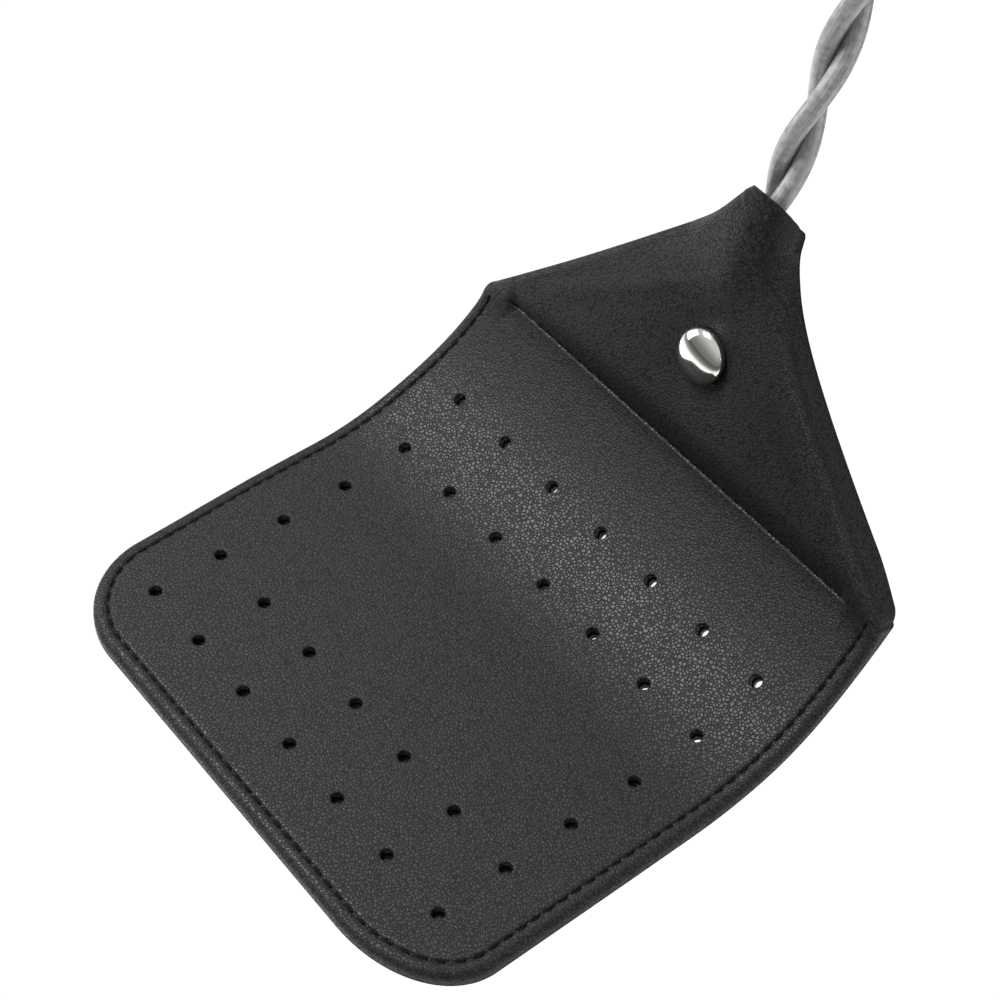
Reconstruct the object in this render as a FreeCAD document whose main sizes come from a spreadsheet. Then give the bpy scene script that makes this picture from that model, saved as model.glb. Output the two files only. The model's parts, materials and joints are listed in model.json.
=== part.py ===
import FreeCAD, Part
import math
import os

import Sketcher

# Leather fly swatter: a blade of two stitched leathers on a twisted steel wire, with a leather grip.
#
# Part frame, millimetres: the origin is on the back face of the flat blade, on the centre line, half-way
# between the second and third hole rows from the free end. +X runs along the blade towards the neck,
# +Y across it, +Z out of its front face. The blade lies flat; past BendStart it curves up, and the neck,
# wire and grip rise at NeckAngle.
#
# Neck frame, used by everything past the bend: its origin is in the middle of the leather where the bend
# ends, X runs up the wire, Y across, Z out of the front. The back pieces are the front pieces turned half
# a turn about that X, because the swatter is symmetric.

SIZES = {
    # blade, both leathers
    "LeatherThick": 1.7,
    "BladeHalfWidth": 47.3,
    "FreeEndReach": 30.1,
    "CornerRadius": 16.0,
    "EdgeRound": 1.1,
    # perforation: seven columns, six rows
    "HoleRadius": 1.0,
    "ColumnPitch": 12.0,
    "RowPitch": 12.2,
    # bend between blade and neck, radius on the front face
    "BendStart": 20.0,
    "BendRadius": 43.5,
    "BendAngle": 52.7,
    "NeckAngle": 73.3,
    # stitching, a flat band of thread lying in a groove
    "StitchMargin": 2.4,
    "ThreadHalfWidth": 0.4,
    "ThreadThick": 0.5,
    "GrooveDepth": 0.6,
    "SeamPlace": 1.5,
    "SeamHalfLength": 38.7,
    # neck
    "ShoulderHalfWidth": 47.3,
    "NeckLength": 46.0,
    "NeckTaperEnd": 38.0,
    "NeckTaperHalfWidth": 7.4,
    "NeckTaperRadius": 230.0,
    "MouthHalfWidth": 4.95,
    "RampStart": 3.0,
    "RampEnd": 7.0,
    "HollowStart": 5.6,
    "HollowHalfWidth": 37.5,
    "NeckEdgeRound": 1.4,
    "TubeStart": 30.0,
    # wire
    "WireRadius": 1.5,
    "WireClearance": 0.1,
    "StrandOffset": 1.55,
    "KnuckleGrowth": 0.1,
    "TwistPitch": 36.0,
    "TwistStart": 33.0,
    "WireEnd": 331.0,
    "BasePlace": 7.4,
    "BaseHalfWidth": 33.4,
    "LoopCornerRadius": 3.0,
    # neck rivet
    "RivetPlace": 19.3,
    "RivetCapRadius": 4.5,
    "RivetCapHeight": 2.3,
    "RivetPostRadius": 1.6,
    "RivetPinRadius": 0.95,
    "RivetPinBore": 1.0,
    "RivetHoleRadius": 1.65,
    "RivetPostGap": 0.2,
    "RivetPinGap": 1.0,
    # grip
    "GripStart": 242.0,
    "GripEnd": 357.0,
    "GripHalfWidth": 13.0,
    "GripStartRadius": 6.0,
    "GripMargin": 2.4,
    "TubePastWire": 4.0,
    "ChannelPastWire": 2.0,
    # hanging eyelet
    "EyeletPlace": 346.0,
    "EyeletBore": 3.0,
    "EyeletBarrel": 3.5,
    "EyeletFlange": 5.75,
    "EyeletFlangeThick": 0.7,
    "EyeletHole": 3.55,
    "WasherThick": 0.5,
    # cutting shapes: how far they pass a face, and the length of the hole punches in the bend
    "Overcut": 1.0,
    "PunchLength": 20.0,
}
COLUMNS = range(-3, 4)
END_COLUMNS = (-3, 3)
# rows are counted in half row pitches from the origin: the first four lie on the flat blade
FLAT_ROWS = {-3: COLUMNS, -1: COLUMNS, 1: END_COLUMNS, 3: END_COLUMNS}
BEND_ROWS = (5, 7)
FIT_EPS = 1e-4
OUTWARD = 1
INWARD = -1

FRONT_LAYER = 1
BACK_LAYER = -1
LAYERS = (("front", FRONT_LAYER), ("back", BACK_LAYER))

doc = FreeCAD.newDocument("FlySwatter")
sheet = doc.addObject("Spreadsheet::Sheet", "Sizes")
for row, (alias, number) in enumerate(SIZES.items(), start=1):
    sheet.set(f"A{row}", alias)
    sheet.set(f"B{row}", str(number))
    sheet.setAlias(f"B{row}", alias)
doc.recompute()
node_objects = []


def keep(feature, label):
    """Marks a document object as one of the swatter's pieces."""
    feature.Label = label
    node_objects.append(feature)
    return feature


def bind(feature, **expressions):
    """Binds a feature's properties to the sheet."""
    for name, expression in expressions.items():
        feature.setExpression(name, expression)
    return feature


def number_of(expression):
    """The value that an expression on the sheet has now."""
    found = sheet.evalExpression(expression)
    return float(getattr(found, "Value", found))


# ---------------------------------------------------------------- frames

X_AXIS = FreeCAD.Vector(1, 0, 0)
Y_AXIS = FreeCAD.Vector(0, 1, 0)
Z_AXIS = FreeCAD.Vector(0, 0, 1)
HALF_TURN = FreeCAD.Placement(FreeCAD.Vector(), FreeCAD.Rotation(X_AXIS, 180))

BEND_AXIS_Z = "(2 * Sizes.LeatherThick + Sizes.BendRadius)"
MIDDLE_RADIUS = "(Sizes.BendRadius + Sizes.LeatherThick)"
BLADE_FRAME = FreeCAD.Placement(
    FreeCAD.Vector(0, 0, SIZES["LeatherThick"]), FreeCAD.Rotation()
)
NECK_FRAME = FreeCAD.Placement(
    FreeCAD.Vector(
        number_of(f"Sizes.BendStart + {MIDDLE_RADIUS} * sin(Sizes.BendAngle)"),
        0,
        number_of(f"{BEND_AXIS_Z} - {MIDDLE_RADIUS} * cos(Sizes.BendAngle)"),
    ),
    FreeCAD.Rotation(Y_AXIS, -SIZES["NeckAngle"]),
)


def layer_frame(frame, layer):
    """The frame of a front piece, or of the same piece turned over for the back."""
    return frame if layer == FRONT_LAYER else frame.multiply(HALF_TURN)


# ---------------------------------------------------------------- sketches and features

def origin_plane(body, role):
    return next(f for f in body.Origin.OriginFeatures if f.Role == role)


def new_body(label, frame):
    body = keep(doc.addObject("PartDesign::Body", label), label)
    body.Placement = frame
    return body


def new_sketch(body, name, role="XY_Plane", offset=None):
    sketch = body.newObject("Sketcher::SketchObject", name)
    sketch.AttachmentSupport = (origin_plane(body, role), [""])
    sketch.MapMode = "FlatFace"
    if offset:
        bind(sketch, **{".AttachmentOffset.Base.z": offset})
    return sketch


def place_point(sketch, geometry, end, at):
    """Fixes one end of a sketch edge at a point whose two coordinates are expressions."""
    for kind, expression in zip(("DistanceX", "DistanceY"), at):
        index = sketch.addConstraint(
            Sketcher.Constraint(kind, -1, 1, geometry, end, number_of(expression))
        )
        sketch.setExpression(f"Constraints[{index}]", expression)


def bulge_point(start, end, radius, side):
    """The middle of the arc from start to end; it bulges to the right of the way where side is 1."""
    chord = end - start
    right = FreeCAD.Vector(chord.y, -chord.x, 0).normalize()
    half = chord.Length / 2
    rise = radius - math.sqrt(max(radius * radius - half * half, 0))
    return (start + end) * 0.5 + right * side * rise


def draw_outline(sketch, corners, arcs=None):
    """A closed outline, drawn counter-clockwise. corners are pairs of expressions. arcs maps the number of
    an edge, counted from the corner where it starts, to its arc's radius expression and side: OUTWARD or
    INWARD. Every other edge is straight."""
    arcs = arcs or {}
    points = [FreeCAD.Vector(number_of(x), number_of(y), 0) for x, y in corners]
    ends = []
    for edge, start in enumerate(points):
        end = points[(edge + 1) % len(points)]
        if edge in arcs:
            radius, side = arcs[edge]
            middle = bulge_point(start, end, number_of(radius), side)
            geometry = sketch.addGeometry(Part.Arc(start, middle, end), False)
            forward = (sketch.getPoint(geometry, 1) - start).Length < FIT_EPS
            ends.append((geometry, 1 if forward else 2, 2 if forward else 1))
        else:
            geometry = sketch.addGeometry(Part.LineSegment(start, end), False)
            ends.append((geometry, 1, 2))
    for edge, (geometry, first, last) in enumerate(ends):
        following, next_first, _ = ends[(edge + 1) % len(ends)]
        sketch.addConstraint(
            Sketcher.Constraint("Coincident", geometry, last, following, next_first)
        )
        place_point(sketch, geometry, first, corners[edge])
        if edge in arcs:
            radius = arcs[edge][0]
            chord = (points[(edge + 1) % len(points)] - points[edge]).Length
            if abs(chord - 2 * number_of(radius)) < FIT_EPS:
                middle = Sketcher.Constraint("Symmetric", geometry, 1, geometry, 2, geometry, 3)
                sketch.addConstraint(middle)
                continue
            index = sketch.addConstraint(
                Sketcher.Constraint("Radius", geometry, number_of(radius))
            )
            sketch.setExpression(f"Constraints[{index}]", radius)
    return sketch


def draw_circle(sketch, x, y, radius):
    centre = FreeCAD.Vector(number_of(x), number_of(y), 0)
    circle = Part.Circle(centre, Z_AXIS, number_of(radius))
    geometry = sketch.addGeometry(circle, False)
    place_point(sketch, geometry, 3, (x, y))
    index = sketch.addConstraint(
        Sketcher.Constraint("Radius", geometry, number_of(radius))
    )
    sketch.setExpression(f"Constraints[{index}]", radius)


def pad(body, sketch, length, midplane=False):
    feature = body.newObject("PartDesign::Pad", sketch.Name + "Pad")
    feature.Profile = sketch
    feature.Midplane = midplane
    bind(feature, Length=length)
    doc.recompute()
    return feature


def pocket(body, sketch, length, reverse=False, midplane=False):
    """Cuts a sketch out of the body and makes sure that it cut something."""
    before = body.Shape.Volume
    feature = body.newObject("PartDesign::Pocket", sketch.Name + "Pocket")
    feature.Profile = sketch
    feature.Midplane = midplane
    feature.Reversed = reverse
    bind(feature, Length=length)
    doc.recompute()
    if not body.Shape.Volume < before - FIT_EPS:
        raise RuntimeError(f"{feature.Name} cuts nothing")
    return feature


def revolve(body, sketch):
    feature = body.newObject("PartDesign::Revolution", sketch.Name + "Turn")
    feature.Profile = sketch
    feature.ReferenceAxis = (origin_plane(body, "Z_Axis"), [""])
    feature.Angle = 360
    doc.recompute()
    return feature


def middle_of(edge):
    return edge.valueAt((edge.FirstParameter + edge.LastParameter) / 2)


def round_edges(body, base, radius, wanted):
    """Fillets the edges of base that are wanted."""
    names = [f"Edge{n}" for n, edge in enumerate(base.Shape.Edges, start=1) if wanted(edge)]
    feature = body.newObject("PartDesign::Fillet", base.Name + "Round")
    feature.Base = (base, names)
    bind(feature, Radius=radius)
    doc.recompute()
    return feature


# ---------------------------------------------------------------- flat blade

def blade_outline(sketch):
    width, radius = "Sizes.BladeHalfWidth", "Sizes.CornerRadius"
    free_end, turn = "-Sizes.FreeEndReach", "-Sizes.FreeEndReach + Sizes.CornerRadius"
    corners = [
        ("Sizes.BendStart", width),
        (turn, width),
        (free_end, f"{width} - {radius}"),
        (free_end, f"-({width} - {radius})"),
        (turn, f"-{width}"),
        ("Sizes.BendStart", f"-{width}"),
    ]
    return draw_outline(sketch, corners, {1: (radius, OUTWARD), 3: (radius, OUTWARD)})


def blade_band(sketch):
    """A U-shaped band along the sewing line: down one side, round the free end and up the other."""
    corners = []
    for inset, first, second in (
        ("(Sizes.StitchMargin - Sizes.ThreadHalfWidth)", "", "-"),
        ("(Sizes.StitchMargin + Sizes.ThreadHalfWidth)", "-", ""),
    ):
        width = f"(Sizes.BladeHalfWidth - {inset})"
        straight = "(Sizes.BladeHalfWidth - Sizes.CornerRadius)"
        turn = "-Sizes.FreeEndReach + Sizes.CornerRadius"
        tip = f"-Sizes.FreeEndReach + {inset}"
        corners += [
            ("Sizes.BendStart", f"{first}{width}"),
            (turn, f"{first}{width}"),
            (tip, f"{first}{straight}"),
            (tip, f"{second}{straight}"),
            (turn, f"{second}{width}"),
            ("Sizes.BendStart", f"{second}{width}"),
        ]
    outer = "Sizes.CornerRadius - Sizes.StitchMargin + Sizes.ThreadHalfWidth"
    inner = "Sizes.CornerRadius - Sizes.StitchMargin - Sizes.ThreadHalfWidth"
    arcs = {1: (outer, OUTWARD), 3: (outer, OUTWARD), 7: (inner, INWARD), 9: (inner, INWARD)}
    return draw_outline(sketch, corners, arcs)


def blade_leather(label, layer):
    """One leather of the flat blade: outline, punched holes, sewing groove and rounded edge."""
    body = new_body(label, layer_frame(BLADE_FRAME, layer))
    pad(body, blade_outline(new_sketch(body, label + "_outline")), "Sizes.LeatherThick")
    holes = new_sketch(body, label + "_holes")
    for row, columns in FLAT_ROWS.items():
        for column in columns:
            place = (f"{row} * Sizes.RowPitch / 2", f"{column} * Sizes.ColumnPitch")
            draw_circle(holes, *place, "Sizes.HoleRadius")
    pocket(body, holes, "Sizes.LeatherThick", reverse=True)
    groove = new_sketch(body, label + "_groove", offset="Sizes.LeatherThick")
    last = pocket(body, blade_band(groove), "Sizes.GrooveDepth")
    top, bend = SIZES["LeatherThick"], SIZES["BendStart"]
    reach = SIZES["BladeHalfWidth"] - SIZES["StitchMargin"] / 2
    tip = -SIZES["FreeEndReach"] + SIZES["StitchMargin"] / 2

    def on_rim(edge):
        point = middle_of(edge)
        outside = abs(point.y) > reach or point.x < tip or edge_on_corner(point)
        return abs(point.z - top) < FIT_EPS and outside and point.x < bend - FIT_EPS

    round_edges(body, last, "Sizes.EdgeRound", on_rim)
    return body


def edge_on_corner(point):
    """True for a point on the blade's rounded corners, outside the sewing line."""
    radius = SIZES["CornerRadius"]
    centre_x = -SIZES["FreeEndReach"] + radius
    centre_y = SIZES["BladeHalfWidth"] - radius
    if point.x > centre_x or abs(point.y) < centre_y:
        return False
    away = math.hypot(point.x - centre_x, abs(point.y) - centre_y)
    return away > radius - SIZES["StitchMargin"] / 2


def blade_thread(label, layer):
    """The edge stitching on the flat blade, a band just below the leather's face."""
    body = new_body(label, layer_frame(BLADE_FRAME, layer))
    floor = "Sizes.LeatherThick - Sizes.GrooveDepth"
    band = blade_band(new_sketch(body, label + "_band", offset=floor))
    pad(body, band, "Sizes.ThreadThick")
    return body


# ---------------------------------------------------------------- bend

BEND_AXIS = FreeCAD.Placement(
    FreeCAD.Vector(SIZES["BendStart"], 0, number_of(BEND_AXIS_Z)),
    FreeCAD.Rotation(X_AXIS, 90),
)


def bend_cylinder(name, radius, width, middle_y="0", whole=False):
    """A cylinder about the bend's axis, width long; unless whole, only the bend's own sector of it.
    The sector starts straight down, at the flat blade, and turns towards +X and up."""
    drum = bind(
        doc.addObject("Part::Cylinder", name), Radius=radius, Height=width
    )
    if not whole:
        bind(drum, Angle="Sizes.BendAngle")
    near_side = FreeCAD.Vector(0, 0, -number_of(middle_y) - number_of(width) / 2)
    start_down = FreeCAD.Rotation(Z_AXIS, -90)
    drum.Placement = BEND_AXIS.multiply(FreeCAD.Placement(near_side, start_down))
    return drum


def cut(name, base, tool):
    feature = doc.addObject("Part::Cut", name)
    feature.Base, feature.Tool = base, tool
    return feature


def join(name, shapes):
    feature = doc.addObject("Part::MultiFuse", name)
    feature.Shapes = shapes
    return feature


def bend_ring(name, inner, outer, width, middle_y="0"):
    """The part of the bend between two radii."""
    whole = bend_cylinder(name + "_outer", outer, width, middle_y)
    core = bend_cylinder(name + "_core", inner, f"{width} + 2 * Sizes.Overcut", middle_y, whole=True)
    return cut(name, whole, core)


def bend_radii(layer):
    """Inner and outer radius of a layer, and of its thread and its groove."""
    near, thick = "Sizes.BendRadius", "Sizes.LeatherThick"
    deep, thread = "Sizes.GrooveDepth", "Sizes.ThreadThick"
    if layer == FRONT_LAYER:
        return {
            "leather": (near, f"{near} + {thick}"),
            "groove": (f"{near} - Sizes.Overcut", f"{near} + {deep}"),
            "thread": (f"{near} + {deep} - {thread}", f"{near} + {deep}"),
        }
    far = f"{near} + 2 * {thick}"
    return {
        "leather": (f"{near} + {thick}", far),
        "groove": (f"{far} - {deep}", f"{far} + Sizes.Overcut"),
        "thread": (f"{far} - {deep}", f"{far} - {deep} + {thread}"),
    }


def bend_bands(name, radii):
    """The two bands of edge stitching, one along each side of the bend."""
    width = "2 * Sizes.ThreadHalfWidth"
    place = "(Sizes.BladeHalfWidth - Sizes.StitchMargin)"
    return join(
        name,
        [
            bend_ring(f"{name}_{word}", *radii, width, f"{sign}{place}")
            for word, sign in (("left", ""), ("right", "-"))
        ],
    )


def bend_holes(name):
    """The two hole rows that lie on the bend, each hole square to the leather."""
    punches = []
    start = FreeCAD.Vector(0, 0, number_of("Sizes.BendRadius - Sizes.PunchLength / 2"))
    for row in BEND_ROWS:
        arc = number_of(f"{row} * Sizes.RowPitch / 2 - Sizes.BendStart")
        angle = math.degrees(arc / SIZES["BendRadius"])
        for number, column in enumerate(COLUMNS):
            punch = doc.addObject("Part::Cylinder", f"{name}_{row}_{number}")
            bind(punch, Radius="Sizes.HoleRadius", Height="Sizes.PunchLength")
            radial = FreeCAD.Placement(
                FreeCAD.Vector(
                    SIZES["BendStart"],
                    column * SIZES["ColumnPitch"],
                    number_of(BEND_AXIS_Z),
                ),
                FreeCAD.Rotation(Y_AXIS, 180 - angle),
            )
            punch.Placement = radial.multiply(
                FreeCAD.Placement(start, FreeCAD.Rotation())
            )
            punches.append(punch)
    return join(name, punches)


def bend_leather(label, layer):
    """One leather of the bend: a curved strip with two rows of holes and a groove along each side."""
    radii = bend_radii(layer)
    strip = bend_ring(label + "_strip", *radii["leather"], "2 * Sizes.BladeHalfWidth")
    grooved = cut(label + "_grooved", strip, bend_bands(label + "_groove", radii["groove"]))
    return keep(cut(label, grooved, bend_holes(label + "_punch")), label)


def bend_thread(label, layer):
    return keep(bend_bands(label, bend_radii(layer)["thread"]), label)


# ---------------------------------------------------------------- neck

OUTER_HALF = "(Sizes.LeatherThick + Sizes.WireRadius + Sizes.WireClearance)"
CHANNEL_RADIUS = "(Sizes.StrandOffset + Sizes.WireRadius + Sizes.WireClearance)"
TUBE_RADIUS = f"({CHANNEL_RADIUS} + Sizes.LeatherThick)"


def neck_outline(sketch, start, half_width, inset, end):
    """The tapering neck, concave from the shoulders to the mouth, drawn inset in from its edge."""
    taper = f"Sizes.NeckTaperHalfWidth - {inset}"
    mouth = f"Sizes.MouthHalfWidth - {inset}"
    corners = [
        (start, half_width),
        (start, f"-({half_width})"),
        ("Sizes.NeckTaperEnd", f"-({taper})"),
        (end, f"-({mouth})"),
        (end, mouth),
        ("Sizes.NeckTaperEnd", taper),
    ]
    arcs = {1: ("Sizes.NeckTaperRadius", INWARD), 5: ("Sizes.NeckTaperRadius", INWARD)}
    return draw_outline(sketch, corners, arcs)


def half_disc(sketch, radius):
    """The front half of a round section, on the plane across the wire."""
    corners = [(radius, "0"), (f"-{radius}", "0")]
    return draw_outline(sketch, corners, {0: (radius, OUTWARD)})


def neck_leather(label, layer):
    """One leather of the neck: a shallow tray over the wire loop that ends in half a tube at the mouth.
    Its start face is the plane where the bend ends, which leans by the crease between the two."""
    body = new_body(label, layer_frame(NECK_FRAME, layer))
    outline = new_sketch(body, label + "_outline")
    neck_outline(outline, "-Sizes.Overcut", "Sizes.ShoulderHalfWidth", "0", "Sizes.NeckLength")
    pad(body, outline, OUTER_HALF)

    lean = f"{layer} * tan(Sizes.NeckAngle - Sizes.BendAngle)"
    ramp = new_sketch(body, label + "_ramp", "XZ_Plane")
    corners = [
        ("-3 * Sizes.Overcut", "-Sizes.Overcut"),
        (f"-{lean} * Sizes.Overcut", "-Sizes.Overcut"),
        (f"{lean} * Sizes.LeatherThick", "Sizes.LeatherThick"),
        ("Sizes.RampStart", "Sizes.LeatherThick"),
        ("Sizes.RampEnd", OUTER_HALF),
        ("Sizes.RampEnd", f"{OUTER_HALF} + Sizes.Overcut"),
        ("-3 * Sizes.Overcut", f"{OUTER_HALF} + Sizes.Overcut"),
    ]
    pocket(body, draw_outline(ramp, corners), "3 * Sizes.BladeHalfWidth", midplane=True)

    tube = new_sketch(body, label + "_tube", "YZ_Plane", offset="Sizes.TubeStart")
    pad(body, half_disc(tube, TUBE_RADIUS), "Sizes.NeckLength - Sizes.TubeStart")

    hollow = new_sketch(body, label + "_hollow")
    start, half_width = "Sizes.HollowStart", "Sizes.HollowHalfWidth"
    neck_outline(hollow, start, half_width, "Sizes.LeatherThick", "Sizes.NeckLength")
    depth = "Sizes.WireRadius + Sizes.WireClearance"
    pocket(body, hollow, depth, reverse=True)
    channel = new_sketch(body, label + "_channel", "YZ_Plane", offset="Sizes.TubeStart")
    channel_length = "Sizes.NeckLength - Sizes.TubeStart"
    pocket(body, half_disc(channel, CHANNEL_RADIUS), channel_length, reverse=True)

    rivet = new_sketch(body, label + "_rivet_hole")
    draw_circle(rivet, "Sizes.RivetPlace", "0", "Sizes.RivetHoleRadius")
    pocket(body, rivet, TUBE_RADIUS, reverse=True)
    groove = seam_band(new_sketch(body, label + "_groove", offset="Sizes.LeatherThick"))
    last = pocket(body, groove, "Sizes.GrooveDepth")

    top = number_of(OUTER_HALF)
    taper_end = SIZES["NeckTaperEnd"]

    def on_side(edge):
        point = middle_of(edge)
        long_side = edge.Length > taper_end / 2 and abs(point.y) > SIZES["RivetCapRadius"]
        return abs(point.z - top) < FIT_EPS and long_side and point.x < taper_end

    round_edges(body, last, "Sizes.NeckEdgeRound", on_side)
    return body


def seam_band(sketch):
    near = "Sizes.SeamPlace - Sizes.ThreadHalfWidth"
    far = "Sizes.SeamPlace + Sizes.ThreadHalfWidth"
    half = "Sizes.SeamHalfLength"
    return draw_outline(
        sketch, [(near, half), (near, f"-{half}"), (far, f"-{half}"), (far, half)]
    )


def seam_thread(label, layer):
    """The straight seam across the neck's base, which closes the leather in front of the wire."""
    body = new_body(label, layer_frame(NECK_FRAME, layer))
    floor = "Sizes.LeatherThick - Sizes.GrooveDepth"
    pad(body, seam_band(new_sketch(body, label + "_band", offset=floor)), "Sizes.ThreadThick")
    return body


def dome_profile(sketch, base, post_radius, bore_radius, post_end):
    """Half section of a rivet half, turned about Z: a domed cap on base, with a post down to post_end.
    A post with a bore_radius above zero is a tube."""
    cap, top = "Sizes.RivetCapRadius", f"{base} + Sizes.RivetCapHeight"
    squares = "Sizes.RivetCapRadius * Sizes.RivetCapRadius + Sizes.RivetCapHeight * Sizes.RivetCapHeight"
    dome = f"({squares}) / (2 * Sizes.RivetCapHeight)"
    if number_of(bore_radius) > 0:
        inside = [(bore_radius, base), (bore_radius, post_end)]
        closing = [("0", base)]
    else:
        inside = [("0", post_end)]
        closing = []
    corners = [("0", top)] + closing + inside + [(post_radius, post_end), (post_radius, base), (cap, base)]
    return draw_outline(sketch, corners, {len(corners) - 1: (dome, OUTWARD)})


def rivet_half(label, layer, post_radius, bore_radius, post_end):
    frame = layer_frame(NECK_FRAME, layer)
    place = FreeCAD.Placement(
        FreeCAD.Vector(SIZES["RivetPlace"], 0, 0), FreeCAD.Rotation()
    )
    body = new_body(label, frame.multiply(place))
    profile = new_sketch(body, label + "_profile", "XZ_Plane")
    revolve(body, dome_profile(profile, OUTER_HALF, post_radius, bore_radius, post_end))
    return body


# ---------------------------------------------------------------- wire

def in_neck(x, y, z, rotation=None):
    """A placement given in the neck frame."""
    local = FreeCAD.Placement(FreeCAD.Vector(x, y, z), rotation or FreeCAD.Rotation())
    return NECK_FRAME.multiply(local)


def knuckle(name, along, across):
    """The bend where a leg of the loop turns into the twist, a ball a little fatter than the wire."""
    ball = bind(
        doc.addObject("Part::Sphere", name), Radius="Sizes.WireRadius + Sizes.KnuckleGrowth"
    )
    ball.Placement = in_neck(along, across, 0)
    return ball


def strand(name, side):
    """One leg of the wire where the two are twisted, from the loop to its end in the grip."""
    start, offset = SIZES["TwistStart"], SIZES["StrandOffset"]
    across = FreeCAD.Rotation(
        FreeCAD.Vector(0, side, 0), FreeCAD.Vector(0, 0, side), X_AXIS, "ZXY"
    )
    helix = bind(
        doc.addObject("Part::Helix", name + "_path"),
        Pitch="Sizes.TwistPitch",
        Height="Sizes.WireEnd - Sizes.TwistStart",
        Radius="Sizes.StrandOffset",
    )
    helix.Placement = in_neck(start, 0, 0, across)
    slope = math.atan2(2 * math.pi * offset, SIZES["TwistPitch"])
    section = bind(doc.addObject("Part::Circle", name + "_section"), Radius="Sizes.WireRadius")
    tilt = FreeCAD.Rotation(X_AXIS, -math.degrees(slope))
    section.Placement = helix.Placement.multiply(
        FreeCAD.Placement(FreeCAD.Vector(offset, 0, 0), tilt)
    )
    sweep = doc.addObject("Part::Sweep", name)
    doc.recompute()
    sweep.Sections = [section]
    sweep.Spine = (helix, [f"Edge{n + 1}" for n in range(len(helix.Shape.Edges))])
    sweep.Solid = True
    sweep.Frenet = True
    return [sweep, knuckle(name + "_knuckle", start, side * offset)]


def loop_run(name, start, end):
    """A straight run of wire between two points of the neck's middle plane."""
    run = bind(doc.addObject("Part::Cylinder", name), Radius="Sizes.WireRadius")
    way = end - start
    run.Height = way.Length
    run.Placement = in_neck(*start, FreeCAD.Rotation(Z_AXIS, way))
    return run


def loop_corner(name, centre, from_angle, sweep_angle):
    """A rounded corner of the wire loop, an arc about centre in the neck's middle plane."""
    elbow = bind(
        doc.addObject("Part::Torus", name),
        Radius1="Sizes.LoopCornerRadius",
        Radius2="Sizes.WireRadius",
    )
    elbow.Angle3 = sweep_angle
    elbow.Placement = in_neck(*centre, FreeCAD.Rotation(Z_AXIS, from_angle))
    return elbow


def wire_loop():
    """The triangular loop inside the neck: two legs from the twist to the shoulders and a base between.
    Each corner is an arc tangent to its leg and to the base, so the runs stop short of where they meet."""
    radius, base = SIZES["LoopCornerRadius"], SIZES["BasePlace"]
    corner = FreeCAD.Vector(base, SIZES["BaseHalfWidth"], 0)
    top = FreeCAD.Vector(SIZES["TwistStart"], SIZES["StrandOffset"], 0)
    leg = (top - corner).normalize()
    opening = 90 + math.degrees(math.atan2(leg.y, leg.x))
    short_by = radius / math.tan(math.radians(opening / 2))
    foot = corner + leg * short_by
    half_base = corner.y - short_by
    pieces = [
        loop_run("loop_base", FreeCAD.Vector(base, -half_base, 0), FreeCAD.Vector(base, half_base, 0))
    ]
    for word, side, from_angle in (("left", 1, opening), ("right", -1, 180)):
        start = FreeCAD.Vector(foot.x, side * foot.y, 0)
        end = FreeCAD.Vector(top.x, side * top.y, 0)
        centre = FreeCAD.Vector(base + radius, side * half_base, 0)
        pieces.append(loop_run(f"{word}_leg", start, end))
        pieces.append(loop_corner(f"{word}_corner", centre, from_angle, 180 - opening))
    return pieces


def steel_wire(label):
    """One length of wire bent double: the loop in the neck, then both legs twisted up to the grip."""
    pieces = wire_loop() + strand("left_strand", 1) + strand("right_strand", -1)
    return keep(join(label, pieces), label)


# ---------------------------------------------------------------- grip

def grip_outline(sketch):
    """The grip's outline: small corners where the wire enters, a half circle at the hanging end."""
    width, radius = "Sizes.GripHalfWidth", "Sizes.GripStartRadius"
    start, turn = "Sizes.GripStart", "Sizes.GripStart + Sizes.GripStartRadius"
    end = "Sizes.GripEnd - Sizes.GripHalfWidth"
    corners = [
        (end, width),
        (turn, width),
        (start, f"{width} - {radius}"),
        (start, f"-({width} - {radius})"),
        (turn, f"-{width}"),
        (end, f"-{width}"),
    ]
    arcs = {1: (radius, OUTWARD), 3: (radius, OUTWARD), 5: (width, OUTWARD)}
    return draw_outline(sketch, corners, arcs)


def grip_band(sketch):
    """The grip's stitching: up one side, round the hanging end and down the other."""
    start = "Sizes.GripStart + Sizes.GripStartRadius"
    end = "Sizes.GripEnd - Sizes.GripHalfWidth"
    outer = "(Sizes.GripHalfWidth - Sizes.GripMargin + Sizes.ThreadHalfWidth)"
    inner = "(Sizes.GripHalfWidth - Sizes.GripMargin - Sizes.ThreadHalfWidth)"
    corners = [
        (start, f"-{outer}"),
        (end, f"-{outer}"),
        (end, outer),
        (start, outer),
        (start, inner),
        (end, inner),
        (end, f"-{inner}"),
        (start, f"-{inner}"),
    ]
    return draw_outline(sketch, corners, {1: (outer, OUTWARD), 5: (inner, INWARD)})


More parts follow.
